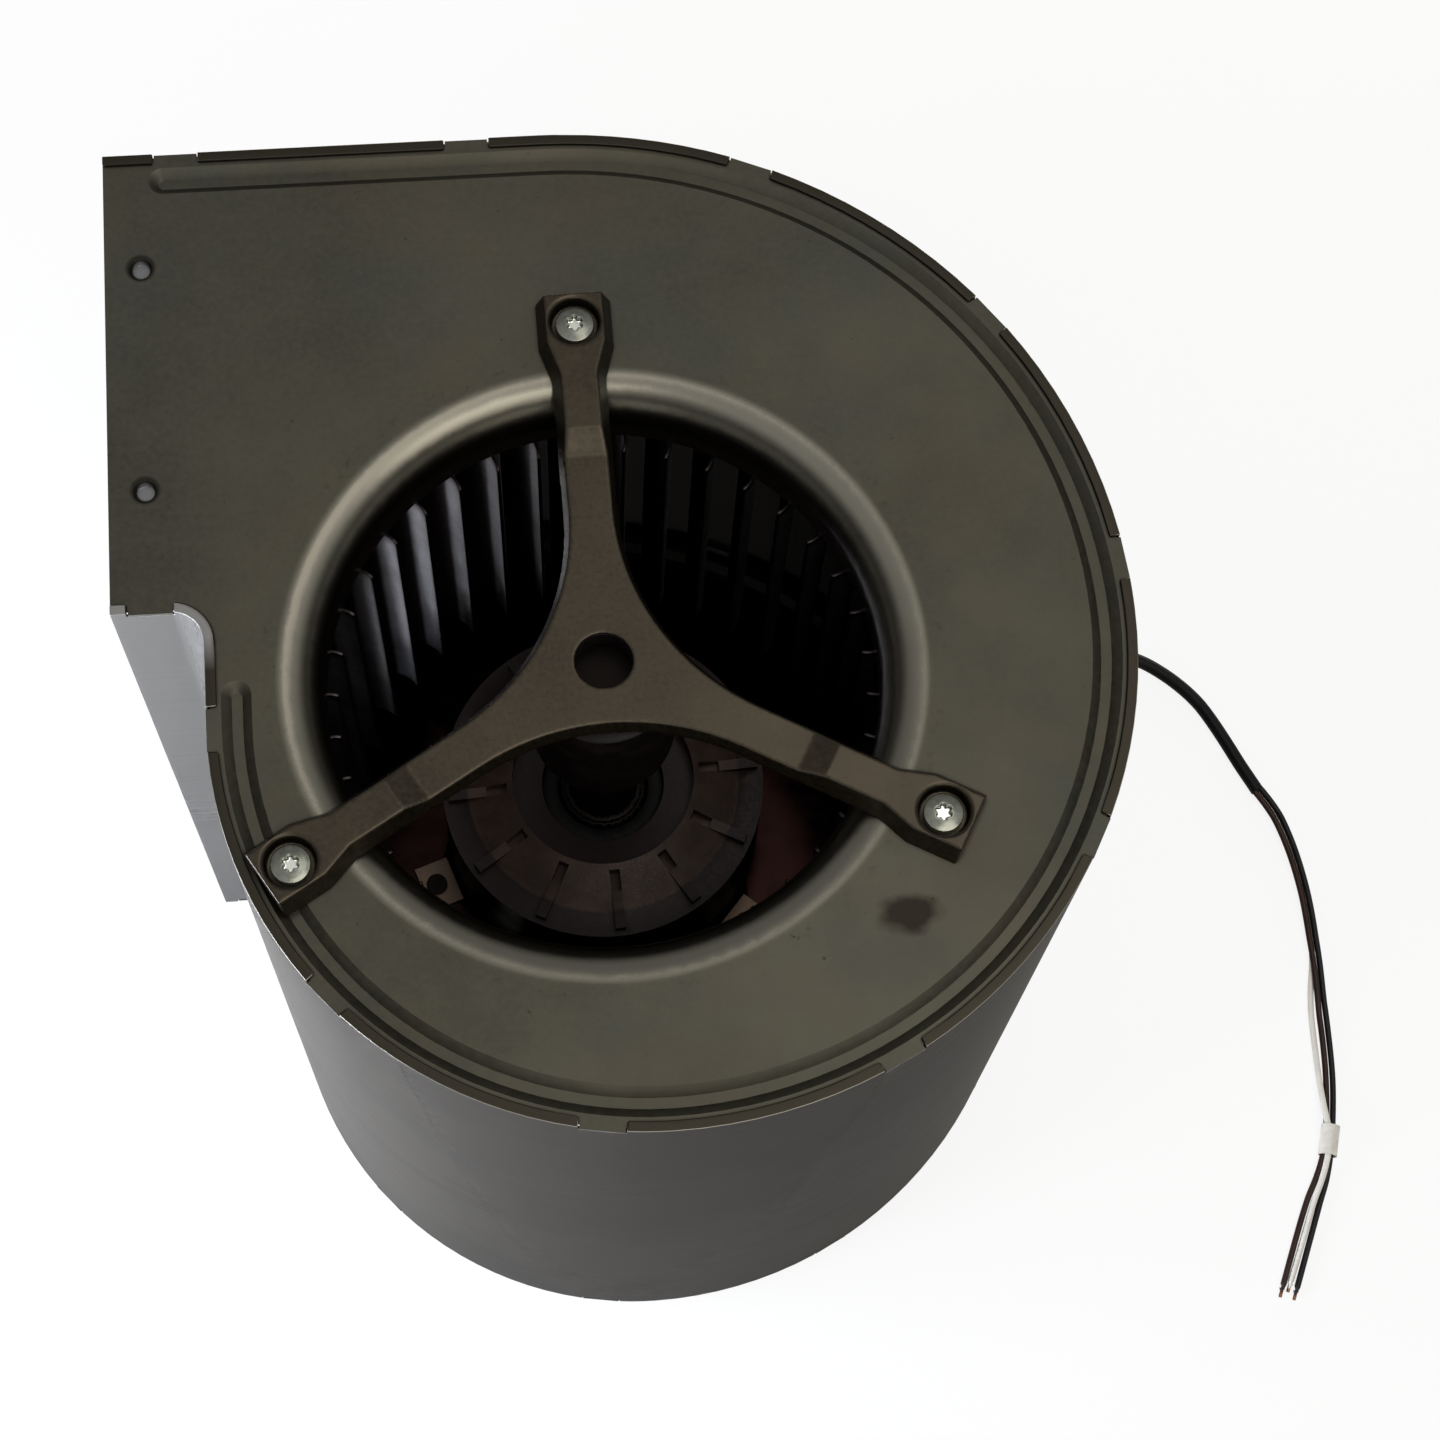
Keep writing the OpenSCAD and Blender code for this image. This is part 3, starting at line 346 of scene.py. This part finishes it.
def stain_mask(tree, at):
    """The stain on the upper plate, an oval with a wandering outline."""
    wander = add(tree, "ShaderNodeTexNoise", {
        "Vector": at, "Scale": 1 / (STAIN_GRAIN * MM), "Detail": 4.0,
    })
    wandered = add(tree, "ShaderNodeVectorMath", {
        0: wander.outputs["Color"], 1: (STAIN_WANDER * MM, STAIN_WANDER * MM, 0), 2: at,
    }, operation="MULTIPLY_ADD")
    # The noise lies about one half, so the outline wanders about a centre half a step aside
    from_stain = add(tree, "ShaderNodeVectorMath", {
        0: wandered.outputs["Vector"],
        1: STAIN_AT + Vector((STAIN_WANDER, STAIN_WANDER, 0)) / 2 * MM,
    }, operation="SUBTRACT")
    in_stain = add(tree, "ShaderNodeVectorMath", {
        0: from_stain.outputs["Vector"], 1: (*(1 / (half * MM) for half in STAIN_HALF), 0),
    }, operation="MULTIPLY").outputs["Vector"]
    out = add(tree, "ShaderNodeVectorMath", {0: in_stain}, operation="LENGTH").outputs["Value"]
    return add(tree, "ShaderNodeMapRange", {
        "Value": out, "From Min": 1.15, "From Max": 0.6, "To Max": 0.9,
    }).outputs["Result"]


def clinch_reach(tree, at):
    """How far a place is from the nearer clinch pit, in metres."""
    folded = add(tree, "ShaderNodeVectorMath", {0: at, 1: OUTLET_HEART}, operation="SUBTRACT")
    folded = add(tree, "ShaderNodeVectorMath", {0: folded.outputs["Vector"]}, operation="ABSOLUTE")
    flat = add(tree, "ShaderNodeVectorMath", {
        0: folded.outputs["Vector"], 1: (1, 1, 0),
    }, operation="MULTIPLY")
    return add(tree, "ShaderNodeVectorMath", {
        0: flat.outputs["Vector"], 1: (0, CLINCH_PITCH / 2 * MM, 0),
    }, operation="DISTANCE").outputs["Value"]


def plate_steel():
    # Galvanised sheet that has dulled to a grey brown: broad cloudy patches, a fine matt grain,
    # small dark specks, a scuffed ring beside the inlet and one greasy stain. The rolled inlet
    # edge is polished by the press, with a painted highlight on its crest and painted shade on its
    # foot and in its well. The clinch pits have painted light on their floors in rings of painted
    # shade, the joints have dirt and painted shade, and the side towards the wheel is painted shade
    made, tree, shader, at = start_material("galvanised_plate", PLATE_METAL)
    reach = axis_reach(tree, at)
    from_clinch = clinch_reach(tree, at)
    # Mask of the side towards the wheel, which gets painted shade
    shaded_inner_side = inner_side(tree, at)
    grain = cloudy(tree, at, 1.6 * MM, 0.3, 0.75)
    bell = ring(tree, reach, BELL_IN * MM, BELL_OUT * MM, 1.2 * MM)
    scuff = add(tree, "ShaderNodeMath", {
        0: ring(tree, reach, SCUFF_IN * MM, SCUFF_OUT * MM, 0.8 * MM),
        1: cloudy(tree, at, 3 * MM, 0.56, 0.68, 0.4),
    }, operation="MULTIPLY")
    coats(
        tree, shader, "#35342c",
        (cloudy(tree, at, 75 * MM, 0.36, 0.66), "#46443a"),
        (cloudy(tree, at, 30 * MM, 0.5, 0.75, 0.5), "#4a4237"),
        (cloudy(tree, at, 52 * MM, 0.52, 0.7, 0.5), "#373b38"),
        (cloudy(tree, at, 1.6 * MM, 0.35, 0.8, 0.3), "#59564c"),
        (cloudy(tree, at, 3.2 * MM, 0.68, 0.75, 0.6), "#211d17"),
        (scuff.outputs[0], "#2b2119"),
        (stain_mask(tree, at), "#1b1610"),
        # Painted highlight on the crest, then painted shade on the foot and in the well
        (ring(tree, reach, CREST_LIGHT_IN * MM, CREST_LIGHT_OUT * MM, 1.0 * MM, 0.8), "#6f6c62"),
        (ring(tree, reach, FOOT_SHADE_IN * MM, FOOT_SHADE_OUT * MM, 0.8 * MM, 0.5), "#1a1613"),
        (ring(tree, reach, 0, WELL_SHADE * MM, 1.0 * MM, 0.9), "#120e0b"),
        # Painted shade round the clinch pits, then painted light on their floors
        (ring(tree, from_clinch, 0, (CLINCH_R + CLINCH_SHADE) * MM, 0.4 * MM, 0.8), "#14110d"),
        (ring(tree, from_clinch, 0, (CLINCH_R - CLINCH_WALL) * MM, 0.15 * MM), "#6f7072"),
        # Dirt and painted shade in the joints
        (joint_dirt_and_shade(tree, 0.8), "#14100b"),
        # Painted shade on the side towards the wheel
        (shaded_inner_side, "#0e0c0a"),
    )
    bare = add(tree, "ShaderNodeMapRange", {"Value": shaded_inner_side, "To Min": PLATE_METAL, "To Max": 1.0})
    tree.links.new(bare.outputs["Result"], shader.inputs["Metallic"])
    dull = add(tree, "ShaderNodeMapRange", {"Value": grain, "To Min": 0.44, "To Max": 0.56})
    rough = add(tree, "ShaderNodeMix", {
        FACTOR: bell, NUMBER_A: dull.outputs["Result"], NUMBER_B: 0.27,
    })
    tree.links.new(rough.outputs[NUMBER_OUT], shader.inputs["Roughness"])
    surface(tree, shader, grain, 0.12, 0.1 * MM)
    return made


def wrapper_steel():
    # Galvanised strip bent round the scroll: paler than the plates, with rolling lines that run
    # round it, drawn coarser than they are so that they show. Its outer bends have a painted
    # highlight, the tops of its folded lips and its inner side are painted shade, its joints have
    # dirt and painted shade, and the tongue below the outlet has painted light
    made, tree, shader, at = start_material("galvanised_wrapper", 0.8)
    shader.inputs["Specular Tint"].default_value = linear("#312e28")
    place = add(tree, "ShaderNodeSeparateXYZ", {0: at}).outputs
    lines = rolled_lines(tree, at, 0.9 * MM, 70 * MM)
    # Heart of the air's way: the fan's axis in the scroll, the middle line in the outlet
    over = add(tree, "ShaderNodeMapRange", {
        "Value": place["X"], "From Min": FAN_AXIS.x + OUTLET_FROM * MM,
        "From Max": FAN_AXIS.x + OUTLET_FULL * MM, "To Max": OUTLET_MIDDLE * MM,
    }).outputs["Result"]
    heart = add(tree, "ShaderNodeVectorMath", {
        0: FAN_AXIS, 1: add(tree, "ShaderNodeCombineXYZ", {"Y": over}).outputs["Vector"],
    }, operation="ADD")
    apart = add(tree, "ShaderNodeVectorMath", {
        0: at, 1: heart.outputs["Vector"],
    }, operation="SUBTRACT")
    level_apart = add(tree, "ShaderNodeVectorMath", {
        0: apart.outputs["Vector"], 1: (1, 1, 0),
    }, operation="MULTIPLY")
    outward = add(tree, "ShaderNodeVectorMath", {
        0: level_apart.outputs["Vector"], 1: add(tree, "ShaderNodeNewGeometry").outputs["Normal"],
    }, operation="DOT_PRODUCT").outputs["Value"]
    # Inner side, which gets painted shade below
    inner = add(tree, "ShaderNodeMapRange", {
        "Value": outward, "From Min": -SIDE_FROM * MM, "From Max": -SIDE_FULL * MM,
    })
    outer = add(tree, "ShaderNodeMapRange", {
        "Value": outward, "From Min": SIDE_FROM * MM, "From Max": SIDE_FULL * MM,
    })
    facing = upright(tree)
    # Painted highlight on the outer bends
    bend = add(tree, "ShaderNodeMapRange", {
        "Value": facing, "From Min": 0.15, "From Max": 0.4, "To Max": 0.8,
    })
    bend_highlight = add(tree, "ShaderNodeMath", {
        0: bend.outputs["Result"], 1: outer.outputs["Result"],
    }, operation="MULTIPLY")
    # Painted shade on the up-facing tops of the lips
    lip_top_shade = add(tree, "ShaderNodeMapRange", {"Value": facing, "From Min": 0.8, "From Max": 0.97})
    # Painted light on the tongue below the outlet, from here
    below = add(tree, "ShaderNodeMapRange", {
        "Value": place["Y"], "From Min": OUTLET_HEART.y,
        "From Max": OUTLET_HEART.y - TONGUE_DROP * MM,
    })
    # Over runs up to the outlet's height, so the share that it multiplies is divided by that
    above = add(tree, "ShaderNodeMapRange", {
        "Value": place["Y"], "From Min": FAN_AXIS.y + TONGUE_FROM * MM,
        "From Max": FAN_AXIS.y + TONGUE_FULL * MM, "To Max": TONGUE_SHARE / (OUTLET_MIDDLE * MM),
    })
    level = add(tree, "ShaderNodeMath", {
        0: below.outputs["Result"], 1: above.outputs["Result"],
    }, operation="MULTIPLY")
    tongue_light = add(tree, "ShaderNodeMath", {0: over, 1: level.outputs[0]}, operation="MULTIPLY")
    coats(
        tree, shader, "#48433c",
        (cloudy(tree, at, 55 * MM, 0.35, 0.68), "#555048"),
        (rolled_lines(tree, at, 0.9 * MM, 70 * MM, 0.2), "#6d6962"),
        # Painted highlight on the outer bends
        (bend_highlight.outputs[0], "#98958d"),
        # Painted shade on the lip tops
        (lip_top_shade.outputs["Result"], "#312e27"),
        # Painted light on the tongue
        (tongue_light.outputs[0], "#8b8a88"),
        # Dirt and painted shade in the joints
        (joint_dirt_and_shade(tree, 0.85), "#120f0b"),
        # Painted shade on the inner side
        (inner.outputs["Result"], "#2d2a25"),
    )
    surface(tree, shader, lines, 0.025, 0.05 * MM, lines, (0.32, 0.4))
    return made


def bracket_steel():
    # Pressed steel with a brownish zinc coat: smooth, glossier than the plates, rubbed in places
    made, tree, shader, at = start_material("zinc_bracket", 0.85)
    grain = cloudy(tree, at, 1.2 * MM, 0.3, 0.75)
    coats(
        tree, shader, "#2b261e",
        (cloudy(tree, at, 22 * MM, 0.32, 0.68), "#352f25"),
        (cloudy(tree, at, 1.2 * MM, 0.35, 0.8, 0.25), "#534c3f"),
        (cloudy(tree, at, 5 * MM, 0.66, 0.74, 0.4), "#2b251c"),
    )
    surface(tree, shader, grain, 0.08, 0.08 * MM, grain, (0.25, 0.36))
    return made


def screw_zinc():
    # Zinc plated steel: pale greenish grey with a painted glint on the socket floor
    made, tree, shader, at = start_material("zinc_plated_screw", 0.9)
    grain = cloudy(tree, at, 1.4 * MM, 0.3, 0.7)
    # Painted glint on the socket floors: how deep and how upright
    depth = add(tree, "ShaderNodeMapRange", {
        "Value": from_middle(tree, at), "From Min": SCREW_TOP - SOCKET_FROM * MM,
        "From Max": SCREW_TOP - SOCKET_FULL * MM,
    })
    floor = add(tree, "ShaderNodeMapRange", {
        "Value": upright(tree), "From Min": 0.5, "From Max": 0.9,
    })
    socket_glint = add(tree, "ShaderNodeMath", {
        0: depth.outputs["Result"], 1: floor.outputs["Result"],
    }, operation="MULTIPLY")
    # Painted glint on the socket floors
    coats(tree, shader, "#62645b", (grain, "#74766d"), (socket_glint.outputs[0], "#c4c6be"))
    surface(tree, shader, grain, 0.04, 0.03 * MM, grain, (0.2, 0.28))
    return made


def blade_steel():
    # Galvanised strip of the blades: painted light on their inner part, painted shade towards the
    # rim of the wheel, and painted shade on their tops that dims their glints
    made, tree, shader, at = start_material("galvanised_blades", 1.0)
    shader.inputs["Specular Tint"].default_value = linear("#cfccca")
    grain = cloudy(tree, at, 1.5 * MM, 0.3, 0.7)
    # Painted light on the inner part of the blades
    lit_inner_part = ring(tree, axis_reach(tree, at), BLADE_FOOT * MM, BLADE_LIT_OUT * MM, 0.5 * MM)
    lit_patches = add(tree, "ShaderNodeMath", {
        0: lit_inner_part, 1: cloudy(tree, at, 14 * MM, 0.35, 0.68),
    }, operation="MULTIPLY")
    # Painted shade on the blades' tops, dimming their glints
    shaded_top = add(tree, "ShaderNodeMapRange", {
        "Value": from_middle(tree, at), "From Min": BLADE_TOP - TOP_SHADE_END * MM,
        "From Max": BLADE_TOP - TOP_SHADE_FULL * MM, "To Max": 0.85,
    })
    coats(
        # Ground colour of painted shade, painted light on the inner part, painted shade on the tops
        tree, shader, "#211716",
        (lit_inner_part, "#6f6e70"),
        (lit_patches.outputs[0], "#8a8a8e"),
        # Painted shade on the blades' tops
        (shaded_top.outputs["Result"], "#211716"),
    )
    surface(tree, shader, grain, 0.02, 0.05 * MM, grain, (0.32, 0.42))
    return made


def disc_paint():
    # Dark japanned steel of the wheel's disc, which mirrors the feet of the blades, with a film
    # of dust
    made, tree, shader, at = start_material("dark_japanned_disc", 1.0)
    dust = cloudy(tree, at, 10 * MM, 0.4, 0.7)
    coats(tree, shader, "#0e0706", (dust, "#170c0b"))
    surface(tree, shader, dust, 0.03, 0.05 * MM, dust, (0.12, 0.24))
    return made


def satin_paint(name, dark, light, roughness):
    # Thin black stoving paint over steel: satin, with a faint orange peel and a little dust
    made, tree, shader, at = start_material(name, 0.0)
    shader.inputs["Specular IOR Level"].default_value = 0.1
    dust = cloudy(tree, at, 9 * MM, 0.45, 0.75)
    peel = cloudy(tree, at, 0.8 * MM, 0.3, 0.7)
    coats(tree, shader, dark, (dust, light))
    surface(tree, shader, peel, 0.12, 0.05 * MM, dust, (0.85 * roughness, 1.25 * roughness))
    return made


def shield_casting():
    # Die cast aluminium end shield: black paint, and bare metal browned by dust on its sloping
    # ring
    made, tree, shader, at = start_material("die_cast_end_shield", 0.2)
    shader.inputs["Specular IOR Level"].default_value = 0.15
    grain = cloudy(tree, at, 0.7 * MM, 0.3, 0.7)
    bare = ring(tree, axis_reach(tree, at), CAST_IN * MM, CAST_OUT * MM, 0.35 * MM)
    rubbed = add(tree, "ShaderNodeMath", {
        0: bare, 1: cloudy(tree, at, 7 * MM, 0.4, 0.7),
    }, operation="MULTIPLY")
    coats(tree, shader, "#150c0b", (bare, "#2c211d"), (rubbed.outputs[0], "#3b2f29"))
    surface(tree, shader, grain, 0.2, 0.1 * MM, grain, (0.34, 0.5))
    return made


def plain_metal(name, dark, light, roughness, size):
    # Bare or ground metal: two close tones and a fine grain of the given size
    made, tree, shader, at = start_material(name, 0.95)
    grain = cloudy(tree, at, size, 0.3, 0.7)
    coats(tree, shader, dark, (grain, light))
    surface(tree, shader, grain, 0.05, 0.03 * MM, grain, (0.8 * roughness, 1.2 * roughness))
    return made


def soft_plastic(name, dark, light, roughness, size, shine=0.5):
    # Moulded or extruded plastic or rubber: even colour, faint mottling, a slight orange peel
    made, tree, shader, at = start_material(name, 0.0)
    shader.inputs["Specular IOR Level"].default_value = shine
    mottle = cloudy(tree, at, size, 0.3, 0.7)
    coats(tree, shader, dark, (mottle, light))
    surface(tree, shader, mottle, 0.1, 0.04 * MM, mottle, (0.9 * roughness, 1.1 * roughness))
    return made


# Finishes by material slot of the record. The plainer ones say their material, dark and light tone,
# roughness, and some also the size of their pattern and their shine
FINISHES = {
    "plate_sheet": plate_steel(),
    "wrapper_sheet": wrapper_steel(),
    "bracket_sheet": bracket_steel(),
    "screw_zinc": screw_zinc(),
    "wheel_sheet": blade_steel(),
    "cup_paint": satin_paint("black_cup_paint", "#0d0a09", "#181210", 0.5),
    "rotor_paint": satin_paint("black_rotor_paint", "#0a0807", "#15100e", 0.5),
    "cast_aluminium": shield_casting(),
    "ground_steel": plain_metal("ground_steel", "#86888a", "#a2a4a6", 0.25, 0.8 * MM),
    "laminated_steel": plain_metal("laminated_steel", "#4b4d50", "#606265", 0.45, 0.5 * MM),
    "winding_copper": plain_metal("enamelled_copper", "#8a4a22", "#b5682f", 0.3, 0.6 * MM),
    "insulator_plastic": soft_plastic("nylon_insulator", "#cbc3ab", "#ddd6c2", 0.5, 4 * MM),
    "black_rubber": soft_plastic("black_rubber", "#080707", "#0f0e0d", 0.6, 3 * MM, 0.1),
    "sleeve_black": soft_plastic("black_pvc_sleeve", "#050505", "#0b0b0c", 0.45, 5 * MM, 0.12),
    "lead_black": soft_plastic("black_pvc_lead", "#0a0909", "#141213", 0.4, 5 * MM, 0.2),
    "lead_brown": soft_plastic("brown_pvc_lead", "#1f120d", "#2f1c14", 0.4, 5 * MM, 0.2),
    "lead_white": soft_plastic("white_pvc_lead", "#dcd9d2", "#eae8e2", 0.35, 5 * MM),
    "band_white": soft_plastic("white_tape", "#cfccc4", "#e4e2dc", 0.5, 2 * MM),
}
# Blackened steel, dark also as painted shade where the axle shows in the hub's hole
BLACKENED_AND_SHADED = plain_metal("blackened_and_shaded_steel", "#0b0908", "#14100e", 0.45, 0.8 * MM)
# Pieces whose finish isn't the common one of their slot
OWN_FINISHES = {
    "impeller_disc": disc_paint(),
    "axle": BLACKENED_AND_SHADED,
    "axle_circlips": BLACKENED_AND_SHADED,
    "bearing_inner_races": BLACKENED_AND_SHADED,
    "bearing_outer_races": BLACKENED_AND_SHADED,
    "lug_rivets": BLACKENED_AND_SHADED,
    "fixing_lugs": plain_metal("browned_lug_steel", "#453a32", "#5a4d43", 0.4, 1.5 * MM),
}
COPPER_STRAND = plain_metal("bare_copper_strand", "#6d4a36", "#94694c", 0.4, 0.3 * MM)

# Edge rounding by piece, upper and lower ones alike: radius in millimetres and steps across it
EDGE_ROUND = {
    "side_plate": (0.25, 2), "scroll_wrapper": (0.3, 2), "outlet_strip": (0.2, 2),
    "axle_cup": (0.5, 2), "end_shield": (0.4, 2), "fixing_lugs": (0.2, 2), "lug_rivets": (0.3, 2),
    "balance_weight": (0.3, 2), "impeller_blades": (0.15, 1), "impeller_ring": (0.2, 2),
    "rotor_shell": (0.3, 2), "strain_relief": (0.3, 2), "axle": (0.3, 2),
}
# Pressed and cold headed pieces, whose edges are round all over: grain of the mesh in millimetres
# and the number of times it is smoothed, each time by a share
PRESSED_ROUND = {"bracket": (0.3, 10), "bracket_screws": (0.14, 6)}
SMOOTH_SHARE = 0.5
# Points closer than this are one, edges sharper than this are rounded, and large faces count
# fully in the shading
WELD_REACH = 0.002 * MM
ROUND_ANGLE = math.radians(35)
FACE_WEIGHT = 100


def dress_nodes():
    """Gives every node its finish, and rounds the edges of those that show."""
    slots = {part["node"]: part["material_slot"] for part in frame["record"]["subparts"]}
    for name, piece in frame["nodes"].items():
        kind = name.removesuffix("_upper").removesuffix("_lower")
        piece.data.materials.clear()
        piece.data.materials.append(OWN_FINISHES.get(name) or FINISHES[slots[name]])
        for face in piece.data.polygons:
            face.use_smooth = True
        weld = piece.modifiers.new("weld", "WELD")
        weld.merge_threshold = WELD_REACH
        if kind in EDGE_ROUND:
            bevel = piece.modifiers.new("rounded edges", "BEVEL")
            radius, bevel.segments = EDGE_ROUND[kind]
            bevel.width = radius * MM
            bevel.limit_method = "ANGLE"
            bevel.angle_limit = ROUND_ANGLE
            bevel.use_clamp_overlap = True
        if kind in PRESSED_ROUND:
            grain, passes = PRESSED_ROUND[kind]
            remesh = piece.modifiers.new("even mesh", "REMESH")
            remesh.mode = "VOXEL"
            remesh.voxel_size = grain * MM
            remesh.use_smooth_shade = True
            smooth = piece.modifiers.new("rounded form", "SMOOTH")
            smooth.factor = SMOOTH_SHARE
            smooth.iterations = passes
            continue
        even = piece.modifiers.new("even shading", "WEIGHTED_NORMAL")
        even.mode = "FACE_AREA"
        even.weight = FACE_WEIGHT


def smooth_route(points):
    """The route with new points on a cubic between each two, never lower than both of them."""
    route = [Vector(p) for p in points]
    for _ in range(ROUTE_ROUNDS):
        finer = []
        for i in range(len(route) - 1):
            # Weights of the cubic through four points, at its middle
            before, after = route[max(i - 1, 0)], route[min(i + 2, len(route) - 1)]
            middle = (9 * (route[i] + route[i + 1]) - before - after) / 16
            middle.z = max(middle.z, min(route[i].z, route[i + 1].z))
            finer += [route[i], middle]
        route = finer + [route[-1]]
    return [p * MM + Vector((FAN_AXIS.x, FAN_AXIS.y, 0)) for p in route]


def lay_cord(name, route, diameter, finish):
    """A round cord along a route, as a curve with closed ends."""
    line = bpy.data.curves.new(name, "CURVE")
    line.dimensions = "3D"
    line.bevel_depth = diameter / 2
    line.bevel_resolution = CORD_STEPS
    line.use_fill_caps = True
    spline = line.splines.new("POLY")
    spline.points.add(len(route) - 1)
    for point, place in zip(spline.points, route):
        point.co = (*place, 1)
    spline.use_smooth = True
    line.materials.append(finish)
    cord = bpy.data.objects.new(name, line)
    bpy.context.scene.collection.objects.link(cord)
    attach(cord, "housing")
    return cord


def lay_cable():
    """The sleeve out of the strain relief, the three leads out of it, and their stripped ends."""
    sleeve_path = smooth_route(SLEEVE_ROUTE)
    sleeve = lay_cord("sleeve", sleeve_path, SLEEVE_D * MM, FINISHES["sleeve_black"])
    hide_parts("cable_sleeve")
    for node, points in LEAD_ROUTES.items():
        path = smooth_route(points)
        tip = path[-1]
        along = (tip - path[-2]).normalized()
        path[-1] = tip - STRIPPED * MM * along
        lead = lay_cord(node.replace("lead_", "wire_"), path, LEAD_D * MM, FINISHES[node])
        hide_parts(node)
        strand_path = [path[-1] - STRAND_INSIDE * MM * along, tip]
        strand = lay_cord(node.replace("lead_", "strand_"), strand_path, STRAND_D * MM,
                          COPPER_STRAND)


def set_camera():
    """The camera of the photograph."""
    data = bpy.data.cameras.new("camera")
    data.sensor_width = SENSOR
    data.lens = FOCAL
    data.clip_start = CLIP_NEAR
    data.clip_end = CLIP_FAR
    camera = bpy.data.objects.new("camera", data)
    bpy.context.scene.collection.objects.link(camera)
    back = CAMERA_RIGHT.cross(CAMERA_UP).normalized()
    up = back.cross(CAMERA_RIGHT).normalized()
    turn = Matrix((CAMERA_RIGHT.normalized(), up, back)).transposed()
    camera.matrix_world = Matrix.Translation(CAMERA_AT) @ turn.to_4x4()
    bpy.context.scene.camera = camera


def white_share(tree, to_eye, in_metal):
    """How much of the studio's white a ray meets, from the camera or off glossy and clear things."""
    path = add(tree, "ShaderNodeLightPath")
    bounced = add(tree, "ShaderNodeMath", {
        0: path.outputs["Is Glossy Ray"], 1: path.outputs["Is Transmission Ray"],
    }, operation="MAXIMUM")
    dimmed = add(tree, "ShaderNodeMath", {0: bounced.outputs[0], 1: in_metal}, operation="MULTIPLY")
    return add(tree, "ShaderNodeMath", {
        0: path.outputs["Is Camera Ray"], 1: to_eye, 2: dimmed.outputs[0],
    }, operation="MULTIPLY_ADD").outputs[0]


def set_sky():
    """Even light from all round, seen as white, and in metal as white that dims to one side."""
    bpy.context.scene.view_settings.view_transform = "Standard"
    world = bpy.data.worlds.new("studio")
    bpy.context.scene.world = world
    world.use_nodes = True
    tree = world.node_tree
    sky = tree.nodes["Background"]
    sky.inputs["Color"].default_value = linear("#f4f6fa")
    sky.inputs["Strength"].default_value = SKY_LEVEL
    towards = add(tree, "ShaderNodeVectorMath", {
        0: add(tree, "ShaderNodeTexCoord").outputs["Generated"], 1: BRIGHT_SIDE,
    }, operation="DOT_PRODUCT")
    in_metal = add(tree, "ShaderNodeMapRange", {
        "Value": towards.outputs["Value"], "From Min": DIM_COSINE, "From Max": FULL_COSINE,
        "To Min": DIM_SIDE_WHITE,
    })
    level = add(tree, "ShaderNodeMath", {
        0: in_metal.outputs["Result"],
        1: add(tree, "ShaderNodeLightPath").outputs["Is Camera Ray"],
    }, operation="MAXIMUM")
    white = add(tree, "ShaderNodeBackground", {
        "Color": linear("#ffffff"), "Strength": level.outputs[0],
    })
    mix = add(tree, "ShaderNodeMixShader", {
        0: white_share(tree, 1.0, 1.0), 1: sky.outputs["Background"],
        2: white.outputs["Background"],
    })
    tree.links.new(mix.outputs["Shader"], tree.nodes["World Output"].inputs["Surface"])


def set_floor():
    """White paper under the fan that keeps a soft shadow."""
    mesh = bpy.data.meshes.new("floor")
    form = bmesh.new()
    bmesh.ops.create_grid(form, x_segments=1, y_segments=1, size=FLOOR_SIZE / 2)
    form.to_mesh(mesh)
    form.free()
    floor = bpy.data.objects.new("floor", mesh)
    bpy.context.scene.collection.objects.link(floor)
    paper = bpy.data.materials.new("white_paper_floor")
    paper.use_nodes = True
    tree = paper.node_tree
    matt = tree.nodes["Principled BSDF"]
    matt.inputs["Base Color"].default_value = linear("#f6f6f5")
    matt.inputs["Roughness"].default_value = FLOOR_ROUGHNESS
    glow = add(tree, "ShaderNodeEmission", {"Color": linear("#ffffff"), "Strength": 1.0})
    mix = add(tree, "ShaderNodeMixShader", {
        0: white_share(tree, FLOOR_WHITE, FLOOR_WHITE_IN_METAL), 1: matt.outputs["BSDF"],
        2: glow.outputs["Emission"],
    })
    tree.links.new(mix.outputs["Shader"], tree.nodes["Material Output"].inputs["Surface"])
    mesh.materials.append(paper)


def set_lamps():
    """Large softboxes, which the camera doesn't see."""
    for name, (place, aim, size, power, tint) in SOFTBOXES.items():
        data = bpy.data.lights.new(name, "AREA")
        data.shape = "RECTANGLE"
        data.size, data.size_y = size
        data.energy = power
        data.color = linear(tint)[:3]
        lamp = bpy.data.objects.new(name, data)
        lamp.location = place
        lamp.visible_camera = False
        towards = Vector(aim) - Vector(place)
        lamp.rotation_euler = towards.to_track_quat("-Z", "Y").to_euler()
        bpy.context.scene.collection.objects.link(lamp)


set_camera()
lay_cable()
dress_nodes()
set_sky()
set_floor()
set_lamps()
